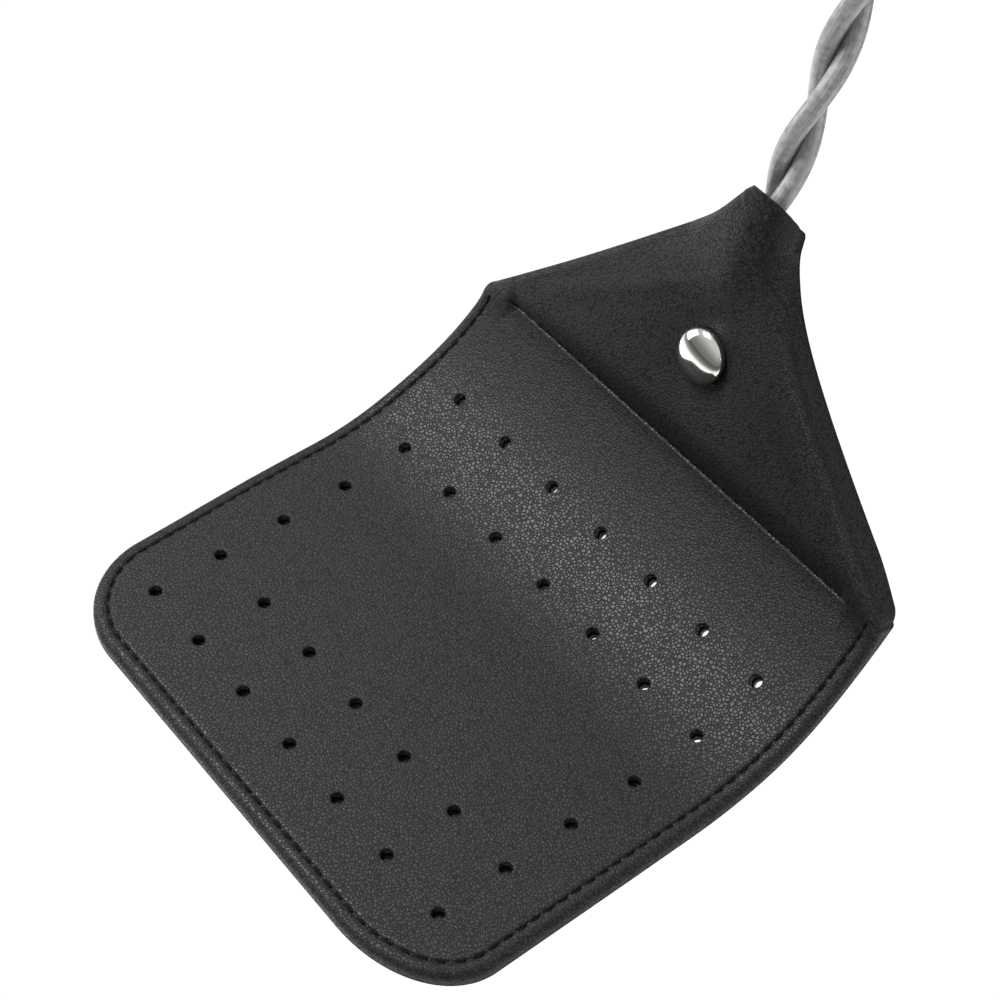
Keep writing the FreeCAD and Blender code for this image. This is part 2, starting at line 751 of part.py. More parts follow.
def grip_leather(label, layer):
    """One leather of the grip: a flat strip with half a tube over the wire."""
    body = new_body(label, layer_frame(NECK_FRAME, layer))
    pad(body, grip_outline(new_sketch(body, label + "_outline")), "Sizes.LeatherThick")
    length = "Sizes.WireEnd + Sizes.TubePastWire - Sizes.GripStart"
    tube = new_sketch(body, label + "_tube", "YZ_Plane", offset="Sizes.GripStart")
    pad(body, half_disc(tube, TUBE_RADIUS), length)
    channel = new_sketch(body, label + "_channel", "YZ_Plane", offset="Sizes.GripStart")
    channel_length = "Sizes.WireEnd + Sizes.ChannelPastWire - Sizes.GripStart"
    pocket(body, half_disc(channel, CHANNEL_RADIUS), channel_length, reverse=True)
    hole = new_sketch(body, label + "_eyelet_hole")
    draw_circle(hole, "Sizes.EyeletPlace", "0", "Sizes.EyeletHole")
    pocket(body, hole, TUBE_RADIUS, reverse=True)
    groove = grip_band(new_sketch(body, label + "_groove", offset="Sizes.LeatherThick"))
    pocket(body, groove, "Sizes.GrooveDepth")
    return body


def grip_thread(label, layer):
    body = new_body(label, layer_frame(NECK_FRAME, layer))
    floor = "Sizes.LeatherThick - Sizes.GrooveDepth"
    pad(body, grip_band(new_sketch(body, label + "_band", offset=floor)), "Sizes.ThreadThick")
    return body


def eyelet_frame(layer):
    place = FreeCAD.Placement(
        FreeCAD.Vector(SIZES["EyeletPlace"], 0, 0), FreeCAD.Rotation()
    )
    return layer_frame(NECK_FRAME, layer).multiply(place)


def hang_eyelet(label):
    """The eyelet: a barrel through both leathers, with a flange in front and a rolled lip behind."""
    body = new_body(label, eyelet_frame(FRONT_LAYER))
    profile = new_sketch(body, label + "_profile", "XZ_Plane")
    face = "Sizes.LeatherThick"
    top = f"{face} + Sizes.EyeletFlangeThick"
    end = f"-({face} + Sizes.WasherThick)"
    corners = [
        ("Sizes.EyeletBore", end),
        ("Sizes.EyeletBarrel", end),
        ("Sizes.EyeletBarrel", face),
        ("Sizes.EyeletFlange", face),
        ("Sizes.EyeletFlange - Sizes.EyeletFlangeThick / 2", top),
        ("Sizes.EyeletBore", top),
    ]
    revolve(body, draw_outline(profile, corners))
    return body


def eyelet_washer(label):
    """The washer behind the grip, which the eyelet's barrel is set against."""
    body = new_body(label, eyelet_frame(BACK_LAYER))
    ring = new_sketch(body, label + "_ring", offset="Sizes.LeatherThick")
    draw_circle(ring, "0", "0", "Sizes.EyeletFlange")
    draw_circle(ring, "0", "0", "Sizes.EyeletHole")
    pad(body, ring, "Sizes.WasherThick")
    return body


# ---------------------------------------------------------------- assembly

for word, layer in LAYERS:
    blade_leather(f"{word}_blade_leather", layer)
    blade_thread(f"{word}_edge_thread", layer)
    bend_leather(f"{word}_bend_leather", layer)
    bend_thread(f"{word}_bend_edge_thread", layer)
    neck_leather(f"{word}_neck_leather", layer)
    seam_thread(f"{word}_cross_seam_thread", layer)
    grip_leather(f"{word}_grip_leather", layer)
    grip_thread(f"{word}_grip_thread", layer)

post_end = f"-{OUTER_HALF} + Sizes.RivetPostGap"
pin_end = f"-{OUTER_HALF} + Sizes.RivetPinGap"
rivet_half("rivet_cap", FRONT_LAYER, "Sizes.RivetPostRadius", "Sizes.RivetPinBore", post_end)
rivet_half("rivet_stud", BACK_LAYER, "Sizes.RivetPinRadius", "0", pin_end)
steel_wire("twisted_wire")
hang_eyelet("hanging_eyelet")
eyelet_washer("eyelet_washer")

doc.recompute()
for thing in doc.Objects:
    if {"Invalid", "Error"} & set(thing.State):
        raise RuntimeError(f"{thing.Label} failed: {thing.State}")

os.makedirs("parts", exist_ok=True)
for node in node_objects:
    if node.Shape.isNull() or not node.Shape.isValid():
        raise RuntimeError(f"{node.Label} has no valid shape")
    node.Shape.exportStep(f"parts/{node.Label}.step")
    box = node.Shape.BoundBox
    print(
        f"{node.Label}: {len(node.Shape.Solids)} solid, {node.Shape.Volume:.1f} mm3,"
        f" X {box.XMin:.1f} to {box.XMax:.1f}, Y {box.YMin:.1f} to {box.YMax:.1f},"
        f" Z {box.ZMin:.1f} to {box.ZMax:.1f}"
    )
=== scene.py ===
"""Looks for the leather fly swatter: two stitched black leathers on a twisted galvanised wire.

Lengths are in millimetres until MM turns them into Blender's metres. Both leathers are drawn on a flat
pattern. A place on the pattern has three coordinates: s runs along the middle of the leather, from the blade
over the bend and up the neck, y runs across, and h is the height off the middle, out of the front. The left
side has y above 0. A place called a is measured up the wire, from the base of the neck.
"""

import json
import math

import bpy
from mathutils import Matrix, Vector, noise
from mathutils.geometry import delaunay_2d_cdt


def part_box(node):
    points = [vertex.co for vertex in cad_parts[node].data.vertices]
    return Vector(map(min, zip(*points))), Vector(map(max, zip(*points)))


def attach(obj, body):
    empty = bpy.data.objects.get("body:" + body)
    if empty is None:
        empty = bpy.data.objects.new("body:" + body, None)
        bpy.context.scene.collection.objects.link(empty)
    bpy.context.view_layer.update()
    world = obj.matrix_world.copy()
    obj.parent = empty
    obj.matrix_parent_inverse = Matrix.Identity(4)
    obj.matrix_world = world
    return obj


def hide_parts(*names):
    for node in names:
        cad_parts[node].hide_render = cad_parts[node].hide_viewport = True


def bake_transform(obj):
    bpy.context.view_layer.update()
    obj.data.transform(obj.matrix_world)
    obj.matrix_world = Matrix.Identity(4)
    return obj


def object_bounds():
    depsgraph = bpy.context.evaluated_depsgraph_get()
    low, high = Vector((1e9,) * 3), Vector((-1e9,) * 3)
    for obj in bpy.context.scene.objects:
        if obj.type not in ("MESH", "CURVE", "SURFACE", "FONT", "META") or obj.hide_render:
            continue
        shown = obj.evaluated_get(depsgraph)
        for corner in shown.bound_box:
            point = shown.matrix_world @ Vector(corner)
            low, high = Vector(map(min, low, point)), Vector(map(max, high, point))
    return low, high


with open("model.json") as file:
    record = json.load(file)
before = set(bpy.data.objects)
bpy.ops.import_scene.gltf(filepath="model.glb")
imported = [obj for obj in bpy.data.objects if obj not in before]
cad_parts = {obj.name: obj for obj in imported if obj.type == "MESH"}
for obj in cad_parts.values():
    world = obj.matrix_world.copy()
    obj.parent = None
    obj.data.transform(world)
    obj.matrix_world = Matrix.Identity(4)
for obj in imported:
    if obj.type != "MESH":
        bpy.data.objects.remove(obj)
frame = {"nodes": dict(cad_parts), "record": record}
CAD_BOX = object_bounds()

MM = 0.001
FRONT = 1
BACK = -1
LAYERS = (("front", FRONT), ("back", BACK))
LEFT = 1
RIGHT = -1


def box_mm(node):
    """The corners of a CAD node's box, in millimetres."""
    low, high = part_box(node)
    return low / MM, high / MM


# ---------------------------------------------------------------- driving dimensions, from the frame

blade_low, blade_high = box_mm("front_blade_leather")
THICK = blade_high.z - blade_low.z
HALF_WIDTH = blade_high.y
FREE_END = blade_low.x
BEND_START = blade_high.x
# half axes of the free end's rounded corners, along s and across
CORNER_RADII = {LEFT: (15.5, 15.5), RIGHT: (13.5, 19.5)}
# how much narrower each half of the blade gets, towards its free end and towards the neck
END_NARROWING = {LEFT: 0.75, RIGHT: 0.1}
END_STRETCH = (-20.0, 12.0)
NECK_NARROWING = {LEFT: 1.2, RIGHT: 1.0}
NECK_NARROWING_START = BEND_START + 14.0

EYELET_PLACE = 346.0
eyelet_mount = next(m for m in frame["record"]["mounts"] if m["name"] == "hang_eyelet")
OUT = Vector(eyelet_mount["axis"])
UP = Vector((OUT.z, 0, -OUT.x))
ACROSS = Vector((0, 1, 0))
NECK_ORIGIN = Vector(eyelet_mount["pos_m"]) / MM - UP * EYELET_PLACE
NECK_ANGLE = math.atan2(UP.z, UP.x)
BEND_ANGLE = 2 * math.atan2(NECK_ORIGIN.z - THICK, NECK_ORIGIN.x - BEND_START)
BEND_RADIUS = (NECK_ORIGIN.x - BEND_START) / math.sin(BEND_ANGLE)
NECK_START = BEND_START + BEND_RADIUS * BEND_ANGLE
NECK_LENGTH = 46.0
CREASE_HALF = 2.2
# each side of the neck from shoulder to mouth: the four control points (a, y) of a cubic
NECK_SIDES = {
    LEFT: ((1.3, 45.4), (19.7, 26.3), (42.3, 5.8), (NECK_LENGTH, 2.9)),
    RIGHT: ((3.7, 45.2), (28.2, 11.5), (34.9, 4.8), (NECK_LENGTH, 5.2)),
}

# the wire: two strands twisted round each other, and the triangular loop at the base of the neck
WIRE_RADIUS = 1.52
STRAND_OFFSET = 1.5
TWIST_START = 33.0
TWIST_PITCH = 36.0
WIRE_END = 331.0
LOOP_BASE = 7.4
LOOP_HALF_WIDTH = 33.4
LOOP_CORNER = 3.0
LEG_SLOPE = (LOOP_HALF_WIDTH - STRAND_OFFSET) / (TWIST_START - LOOP_BASE)
# height of the leather over one wire and over the twisted pair
NECK_TOP = THICK + WIRE_RADIUS + 0.08
TUBE_TOP = THICK + STRAND_OFFSET + WIRE_RADIUS + 0.13

HOLE_RADIUS = 1.0
HOLE_RADIUS_BACK = 0.68
HOLE_RADIUS_BACK_BEND = 0.84
COLUMN_PITCH = 12.0
ROW_PITCH = 12.2
STITCH_PITCH = 2.5
STITCH_INSET = 2.4
SEAM_PLACE = 1.5
SEAM_HALF = 38.7
RIVET_PLACE = 19.3
RIVET_RADIUS = 4.5

GRIP_START = 242.0
GRIP_END = 357.0
GRIP_HALF_WIDTH = 13.0
GRIP_CORNER = 6.0
EYELET_HOLE_RADIUS = 3.55


# ---------------------------------------------------------------- small helpers

def lerp(a, b, t):
    """From a at t = 0 to b at t = 1."""
    return a + (b - a) * t


def ease(low, high, x):
    """0 below low, 1 above high, and smooth between."""
    t = min(max((x - low) / (high - low), 0.0), 1.0)
    return t * t * (3 - 2 * t)


def stretch(rise_from, rise_to, fall_from, fall_to, x):
    """1 along a stretch with soft ends, and 0 outside it."""
    return ease(rise_from, rise_to, x) * (1 - ease(fall_from, fall_to, x))


def bump(x, width):
    """1 at 0, and falling off smoothly over the width to both sides."""
    return math.exp(-(x / width) ** 2)


def gap(p, q):
    """Distance between two points, from their first two coordinates."""
    return math.hypot(q[0] - p[0], q[1] - p[1])


def distinct(corners):
    """The corners of a face without repeats."""
    return [v for k, v in enumerate(corners) if v not in corners[:k]]


def new_object(name, verts, faces, uvs):
    """A smooth mesh object; verts are in metres and uvs are one pair for each vertex."""
    mesh = bpy.data.meshes.new(name)
    mesh.from_pydata(verts, [], faces)
    layer = mesh.uv_layers.new(name="pattern")
    for loop in mesh.loops:
        layer.data[loop.index].uv = uvs[loop.vertex_index]
    mesh.validate()
    for polygon in mesh.polygons:
        polygon.use_smooth = True
    mesh.update()
    piece = bpy.data.objects.new(name, mesh)
    bpy.context.scene.collection.objects.link(piece)
    return piece


def band(faces, first, second, count):
    """Quads between two closed rings of count vertices that start at the given indices."""
    for k in range(count):
        following = (k + 1) % count
        faces.append([first + k, first + following, second + following, second + k])


# ---------------------------------------------------------------- where a place on the pattern lies

def centre_line(s):
    """x and z of the leather's middle, and its heading in radians."""
    if s <= BEND_START:
        return s, THICK, 0.0
    if s < NECK_START - CREASE_HALF:
        angle = (s - BEND_START) / BEND_RADIUS
        x = BEND_START + BEND_RADIUS * math.sin(angle)
        return x, THICK + BEND_RADIUS * (1 - math.cos(angle)), angle
    if s > NECK_START + CREASE_HALF:
        point = NECK_ORIGIN + UP * (s - NECK_START)
        return point.x, point.z, NECK_ANGLE
    # the crease between the bend and the neck is a parabola
    t = (s - NECK_START + CREASE_HALF) / (2 * CREASE_HALF)
    x, z, angle = centre_line(NECK_START - CREASE_HALF - 1e-6)
    start = Vector((x, 0, z))
    end = NECK_ORIGIN + UP * CREASE_HALF
    point = start * (1 - t) ** 2 + NECK_ORIGIN * (2 * t * (1 - t)) + end * t * t
    way = (NECK_ORIGIN - start) * (1 - t) + (end - NECK_ORIGIN) * t
    return point.x, point.z, math.atan2(way.z, way.x)


def on_pattern(s, y, h):
    """Where a place on the pattern lies in Blender."""
    x, z, angle = centre_line(s)
    return Vector((x - math.sin(angle) * h, y, z + math.cos(angle) * h)) * MM


def on_neck(a, y, h):
    """A place in the neck's own frame: a along the wire, y across and h out of the front."""
    return (NECK_ORIGIN + UP * a + ACROSS * y + OUT * h) * MM


# ---------------------------------------------------------------- outlines

class RimPoint:
    """One point of the line that the edge is built out from. end is 1 on a cut end and 0 on a side; stitch
    is the distance along the sewing line, or None where nothing is sewn. In a sharp corner, reach is how
    much further out the edge goes, and flank is the outward direction of the corner's side."""

    def __init__(self, s, y, ds, dy, end=0.0, stitch=None, reach=1.0, flank=None):
        length = math.hypot(ds, dy) / reach
        self.s, self.y = s, y
        self.ds, self.dy = ds / length, dy / length
        self.end = end
        self.stitch = stitch
        self.flank = flank

    def out(self, distance):
        """The place on the pattern at a distance outwards."""
        return self.s + self.ds * distance, self.y + self.dy * distance


def arc(centre, radii, start, end, step):
    """Points and outward directions of an arc of an ellipse; radii are its half axes along s and y, and the
    angles are in degrees."""
    along, across = radii
    count = max(2, round((along + across) / 2 * math.radians(abs(end - start)) / step))
    found = []
    for k in range(count + 1):
        angle = math.radians(lerp(start, end, k / count))
        ds, dy = math.cos(angle), math.sin(angle)
        found.append((centre[0] + along * ds, centre[1] + across * dy, ds * across, dy * along))
    return found


def line(start, end, step):
    """Points and outward directions of a straight line."""
    length = gap(start, end)
    count = max(1, round(length / step))
    ds, dy = (end[1] - start[1]) / length, -(end[0] - start[0]) / length
    return [
        (lerp(start[0], end[0], k / count), lerp(start[1], end[1], k / count), ds, dy)
        for k in range(count + 1)
    ]


def fan(point, start, end, count):
    """The same point again and again while the outward direction turns from start to end."""
    first, last = math.atan2(start[1], start[0]), math.atan2(end[1], end[0])
    turn = (last - first + math.pi) % (2 * math.pi) - math.pi
    return [
        (*point, math.cos(first + turn * k / count), math.sin(first + turn * k / count))
        for k in range(1, count)
    ]


def mitre(points, start, end):
    """How much further out each direction of a fan must reach to make a sharp corner."""
    return [
        1 / max(ds * start[0] + dy * start[1], ds * end[0] + dy * end[1]) for _, _, ds, dy in points
    ]


def side_curve(side, inset, count=160):
    """Points of one neck side moved in by inset, with outward directions, on the pattern."""
    a, b, c, d = (Vector(p) for p in NECK_SIDES[side])
    found = []
    for k in range(count + 1):
        t = k / count
        point = a * (1 - t) ** 3 + b * 3 * t * (1 - t) ** 2 + c * 3 * t * t * (1 - t) + d * t ** 3
        way = (b - a) * (1 - t) ** 2 + (c - b) * 2 * t * (1 - t) + (d - c) * t * t
        ds, dy = -way.y / way.length, way.x / way.length
        s, y = NECK_START + point.x - ds * inset, point.y - dy * inset
        found.append((s, side * y, ds, side * dy))
    return found


def resample(points, step):
    """Even spacing along a line of (s, y, ds, dy)."""
    reach = [0.0]
    for p, q in zip(points, points[1:]):
        reach.append(reach[-1] + gap(p, q))
    count = max(1, round(reach[-1] / step))
    found, k = [], 0
    for n in range(count + 1):
        target = reach[-1] * n / count
        while k < len(reach) - 2 and reach[k + 1] < target:
            k += 1
        t = (target - reach[k]) / max(reach[k + 1] - reach[k], 1e-9)
        found.append(tuple(lerp(u, v, t) for u, v in zip(points[k], points[k + 1])))
    return found


def blade_half_width(s, side):
    """From the middle of the blade to its edge, on one side."""
    at_neck = NECK_NARROWING[side] * ease(NECK_NARROWING_START, NECK_START, s)
    at_end = END_NARROWING[side] * (1 - ease(*END_STRETCH, s))
    return HALF_WIDTH - at_neck - at_end


def blade_side(side, inset, end, step):
    """One long side of the blade, from its corner to s = end."""
    start = FREE_END + CORNER_RADII[side][0]
    count = round((end - start) / step)
    found = []
    for k in range(count + 1):
        s = lerp(start, end, k / count)
        slope = blade_half_width(s + 0.5, side) - blade_half_width(s - 0.5, side)
        found.append((s, side * (blade_half_width(s, side) - inset), -slope, side))
    return found


RIM_INSET = 3.2
RIM_STEP = 0.5
FAN_STEPS = 7
WIRE_GAP = 4.0


def plain(points):
    """Rim points of an edge with no sewing."""
    return [RimPoint(*p) for p in points]


def sewn_points(points):
    """Rim points along a sewing line, each with its distance from the line's start."""
    found, reach, previous = [], 0.0, points[0]
    for p in points:
        reach += gap(previous, p)
        found.append(RimPoint(*p, stitch=reach))
        previous = p
    return found


def mouth_corner(place, start, end, rising, flank):
    """The sharp corner between the mouth and a side of the neck, where end rises to 1 or falls to 0."""
    ramp = fan(place, start, end, FAN_STEPS)
    found = []
    for k, (p, reach) in enumerate(zip(ramp, mitre(ramp, start, end))):
        share = (k + 1) / FAN_STEPS
        found.append(RimPoint(*p, end=share if rising else 1 - share, reach=reach, flank=flank))
    return found


def swatter_rim():
    """The swatter's rim line, counter-clockwise from the right corner of the mouth."""
    top = NECK_START + NECK_LENGTH - RIM_INSET
    sides = {}
    for side in (LEFT, RIGHT):
        curve = side_curve(side, RIM_INSET)
        limit = [
            p for p in curve if p[0] < top and abs(p[1]) < blade_half_width(p[0], side) - RIM_INSET
        ]
        sides[side] = resample(limit, RIM_STEP)
    left, right = sides[LEFT], sides[RIGHT]
    shoulder_left = blade_side(LEFT, RIM_INSET, left[0][0], RIM_STEP)
    shoulder_right = blade_side(RIGHT, RIM_INSET, right[0][0], RIM_STEP)
    corners = {}
    for side, start in ((LEFT, 90), (RIGHT, 180)):
        along, across = CORNER_RADII[side]
        turn = FREE_END + along
        centre = (turn, side * (blade_half_width(turn, side) - across))
        radii = (along - RIM_INSET, across - RIM_INSET)
        corners[side] = arc(centre, radii, start, start + 90, RIM_STEP)
    sewn = (
        shoulder_left[::-1]
        + corners[LEFT][1:-1]
        + line(corners[LEFT][-1][:2], corners[RIGHT][0][:2], RIM_STEP)
        + corners[RIGHT][1:-1]
        + shoulder_right
    )
    mouth_ends = ((top, right[-1][1]), (top, left[-1][1]))
    mouth_way = (1, 0)
    left_way, right_way = left[-1][2:], right[-1][2:]
    rim = [RimPoint(*p, end=1.0) for p in line(*mouth_ends, RIM_STEP)]
    rim += mouth_corner(mouth_ends[1], mouth_way, left_way, False, left_way)
    rim += plain(left[::-1] + fan(left[0][:2], left[0][2:], sewn[0][2:], FAN_STEPS))
    rim += sewn_points(sewn)
    rim += plain(fan(right[0][:2], sewn[-1][2:], right[0][2:], FAN_STEPS) + right)
    return rim + mouth_corner(mouth_ends[0], right_way, mouth_way, True, right_way)


def grip_rim():
    """The grip's rim line: square end with rounded corners at the wire, half circle at the hanging end."""
    width = GRIP_HALF_WIDTH - RIM_INSET
    radius = GRIP_CORNER - RIM_INSET
    radii = (radius, radius)
    start, turn, end = GRIP_START + RIM_INSET, GRIP_START + GRIP_CORNER, GRIP_END - GRIP_HALF_WIDTH
    sewn = (
        line((turn, -width), (end, -width), RIM_STEP)
        + arc((end, 0), (width, width), -90, 90, RIM_STEP)[1:-1]
        + line((end, width), (turn, width), RIM_STEP)
    )
    rim = sewn_points(sewn)
    rim += plain(arc((turn, width - radius), radii, 90, 180, RIM_STEP)[1:])
    across = line((start, width - radius), (start, radius - width), RIM_STEP)
    rim += [RimPoint(*p, end=bump(p[1], WIRE_GAP)) for p in across[1:-1]]
    return rim + plain(arc((turn, radius - width), radii, 180, 270, RIM_STEP)[:-1])


# ---------------------------------------------------------------- relief of the leathers

# where the leather starts to rise from the blade to the wire loop: beside the cross seam and at it
RISE_START = -4.5
RISE_START_SEWN = SEAM_PLACE + 0.15
RISE_END = 7.6
RISE_POWER = 1.7
# the leather is lifted by the loop's legs and sinks between them
LIFT, LIFT_WIDTH, LIFT_STRETCH = 0.22, 2.4, (6, 12, 26, 34)
SAG, SAG_STRETCH = 0.35, (6, 14, 22, 30)
DIMPLE, DIMPLE_WIDTH = 1.1, 8.0
# the crest over the twisted pair, and the fall from there to the sides
CREST_RISE = (22, 43)
CREST_WIDTH = {LEFT: 5.0, RIGHT: 3.6}
FALL = {LEFT: 2.0, RIGHT: 0.7}
FALL_REACH, FALL_STRETCH = 9.0, (4, 14, 34, 44)
SEAM_GROOVE, SEAM_GROOVE_WIDTH = 0.5, 0.26
SEAM_FADE = (SEAM_HALF - 0.6, SEAM_HALF + 1.6)
# rounding of the edges
BLADE_EDGE, NECK_EDGE, CUT_EDGE = 1.4, 1.5, 0.35
MOUTH_EDGE = {LEFT: 2.0, RIGHT: 3.0}
MOUTH_RISE = (26, 42)
# how far the front leather wraps round the side, and the rounding at the joint
BLADE_WRAP, NECK_WRAP = 0.7, 2.9
BLADE_JOINT, NECK_JOINT = 0.06, 0.2
DENT, DENT_LEVEL, DENT_WIDTH = 0.3, 0.9, 0.6
MOUTH_SLANT, SLANT_RISE = 0.75, (36, 46)


def side_of(y):
    """Which side a place across the pattern is on."""
    return LEFT if y > 0 else RIGHT


class SwatterRelief:
    """Heights of one leather, front or back, above its own side of the middle surface."""

    def __init__(self, layer):
        self.layer = layer

    def top(self, s, y):
        """Height of the leather's outer face."""
        a = s - NECK_START
        sewn = 1 - ease(*SEAM_FADE, abs(y))
        start = lerp(RISE_START, RISE_START_SEWN, sewn)
        share = min(max((a - start) / (RISE_END - start), 0.0), 1.0)
        soft = share * share * (3 - 2 * share)
        steep = 1 - (1 - share) ** RISE_POWER
        height = lerp(THICK, NECK_TOP, lerp(soft, steep, sewn))
        if a > -2:
            side = side_of(y)
            leg = STRAND_OFFSET + max(TWIST_START - a, 0) * LEG_SLOPE
            lift = LIFT * bump(abs(y) - leg, LIFT_WIDTH) * stretch(*LIFT_STRETCH, a)
            sag = SAG * max(0.0, 1 - (y / leg) ** 2) * stretch(*SAG_STRETCH, a)
            dimple = DIMPLE * bump(math.hypot(a - RIVET_PLACE, y), DIMPLE_WIDTH)
            crest = (TUBE_TOP - NECK_TOP) * ease(*CREST_RISE, a) * bump(y, CREST_WIDTH[side])
            fall = FALL[side] * (y / (leg + FALL_REACH)) ** 2 * stretch(*FALL_STRETCH, a)
            height += lift - sag - dimple + crest - fall
        return height - SEAM_GROOVE * bump(a - SEAM_PLACE, SEAM_GROOVE_WIDTH) * sewn

    def neckness(self, s):
        """0 on the blade and 1 in the neck."""
        return ease(-1.0, 9.0, s - NECK_START)

    def edge_radius(self, s, y, end):
        """Rounding between the outer face and the side."""
        in_neck = lerp(NECK_EDGE, MOUTH_EDGE[side_of(y)], ease(*MOUTH_RISE, s - NECK_START))
        return lerp(lerp(BLADE_EDGE, in_neck, self.neckness(s)), CUT_EDGE, end)

    def joint(self, s, end):
        """Height of the joint between the two leathers: the front one wraps round the side."""
        return -self.layer * lerp(BLADE_WRAP, NECK_WRAP, self.neckness(s))

    def joint_round(self, s, end):
        return lerp(BLADE_JOINT, NECK_JOINT, max(self.neckness(s), end))

    def under(self, s, y):
        """Height of the leather's inner face."""
        return max(self.top(s, y) - THICK, 0.0)

    def dent(self, s, level):
        """How far the side is drawn in, just below the front edge of the neck."""
        return DENT * bump(self.layer * level - DENT_LEVEL, DENT_WIDTH) * self.neckness(s)

    def place(self, s, y, h):
        """The mouth is cut on a slant, higher in front than behind."""
        slant = MOUTH_SLANT * self.layer * h
        return on_pattern(s + slant * ease(*SLANT_RISE, s - NECK_START), y, self.layer * h)


# where the grip's tube over the wire begins to close, how long its end is, and how softly it meets the flats
TUBE_CLOSE = WIRE_END - 1.5
TUBE_END_SHAPE = 0.8
TUBE_BLEND = 0.9
GRIP_EDGE = 1.0
GRIP_CUT_EDGE = 0.4
GRIP_JOINT = 0.12


class GripRelief:
    """Heights of one grip leather above the middle plane; a stands for s here."""

    def __init__(self, layer):
        self.layer = layer

    def top(self, a, y):
        past = max(a - TUBE_CLOSE, 0.0)
        tube = math.sqrt(max(TUBE_TOP ** 2 - y * y - (past * TUBE_END_SHAPE) ** 2, 0.0))
        near = max(TUBE_BLEND - abs(tube - THICK), 0.0) / TUBE_BLEND
        return max(tube, THICK) + near * near * TUBE_BLEND / 4

    def edge_radius(self, a, y, end):
        return lerp(GRIP_EDGE, GRIP_CUT_EDGE, end)

    def joint(self, a, end):
        return 0.0

    def joint_round(self, a, end):
        return GRIP_JOINT

    def under(self, a, y):
        return max(0.0, self.top(a, y) - THICK) if a < WIRE_END + 6 else 0.0

    def dent(self, a, level):
        return 0.0

    def place(self, a, y, h):
        return on_neck(a, y, self.layer * h)


# ---------------------------------------------------------------- leather meshes

# section of the sewing groove, from the rim line outwards
GROOVE_PLACES = (0.35, 0.22, 0.1, 0.0, -0.1, -0.22, -0.35)
GROOVE_INSETS = (RIM_INSET, *(STITCH_INSET + place for place in GROOVE_PLACES))
GROOVE_DEPTHS = (0.0, 0.04, 0.25, 0.62, 0.75, 0.62, 0.25, 0.04)
# the groove's depth between two stitches as a share of that under one, and where a stitch's slot ends
BETWEEN_STITCHES = 0.35
SLOT_END = (0.17, 0.37)
FAT_EDGE = (1.5, 3.0)
DENT_STEPS = 5
ROUND_STEPS = 6
JOINT_STEPS = 3
TURN_IN = 0.3


def slot_depth(point):
    """Depth factor of the sewing groove: deep at each stitch, shallow between."""
    if point.stitch is None:
        return 0.0
    phase = point.stitch / STITCH_PITCH % 1.0
    return lerp(1.0, BETWEEN_STITCHES, ease(*SLOT_END, abs(phase - 0.5)))


def edge_drop(radius, room):
    """How far the rounding of the edge falls: by its radius, or by all the room where the edge is fat."""
    return min(lerp(radius, max(radius, room), ease(*FAT_EDGE, radius)), room)


def corner_section(relief, point, distances):
    """The rounding of the side carried on round a sharp corner of the cut end."""
    side_radius = relief.edge_radius(point.s, point.y, 0.0)
    joint = relief.joint(point.s, 0.0)
    toward_side = point.ds * point.flank[0] + point.dy * point.flank[1]
    section = []
    for distance in distances:
        s, _ = point.out(distance)
        height = relief.top(s, point.y)
        past = distance * toward_side - RIM_INSET + side_radius
        share = min(max(past / side_radius, 0.0), 1.0)
        drop = edge_drop(side_radius, height - joint - relief.joint_round(s, 0.0))
        section.append((distance, height - drop * (1 - math.sqrt(1 - share * share))))
    cut = max(section[-1][1] - THICK, joint)
    return section, lerp(joint, cut, point.end)


def rim_profile(relief, point):
    """Section of the edge at a rim point, from the rim line out and round to the joint: pairs of distance
    outwards and height. Also gives the joint's height."""
    s, y = point.out(RIM_INSET)
    radius = relief.edge_radius(s, y, point.end)
    groove = slot_depth(point)
    section = []
    for k, (inset, depth) in enumerate(zip(GROOVE_INSETS, GROOVE_DEPTHS)):
        if point.stitch is None:
            inset = lerp(RIM_INSET, radius, k / len(GROOVE_INSETS))
        distance = RIM_INSET - inset
        section.append((distance, relief.top(*point.out(distance)) - depth * groove))
    height = relief.top(*point.out(RIM_INSET - radius))
    joint = relief.joint(s, point.end)
    joint_round = relief.joint_round(s, point.end)
    if point.end > 0:
        joint = lerp(joint, relief.under(s, y), ease(0.0, 1.0, point.end))
    low = joint + joint_round
    drop = edge_drop(radius, height - low)
    for k in range(ROUND_STEPS + 1):
        angle = math.pi / 2 * k / ROUND_STEPS
        distance = RIM_INSET - radius * (1 - math.sin(angle))
        base = relief.top(*point.out(distance)) if point.end > 0.5 else height
        section.append((distance, base - drop * (1 - math.cos(angle))))
    if point.flank:
        section, joint = corner_section(relief, point, [distance for distance, _ in section])
        low = joint + joint_round
    corner = section[-1][1]
    for k in range(1, DENT_STEPS + 1):
        level = lerp(corner, low, k / (DENT_STEPS + 1))
        section.append((RIM_INSET - relief.dent(s, level) * (1 - point.end), level))
    for k in range(JOINT_STEPS + 1):
        angle = math.pi / 2 * k / JOINT_STEPS
        inset, depth = joint_round * (1 - math.cos(angle)), joint_round * math.sin(angle)
        section.append((RIM_INSET - inset, low - depth))
    return section, joint


HOLE_SIDES = 20
HOLE_LIP = 0.3


def circle(centre, radius, count, turn=0.0):
    """Points round a circle on the pattern; turn is in steps between points."""
    angles = [2 * math.pi * (k + turn) / count for k in range(count)]
    return [(centre[0] + radius * math.cos(a), centre[1] + radius * math.sin(a)) for a in angles]


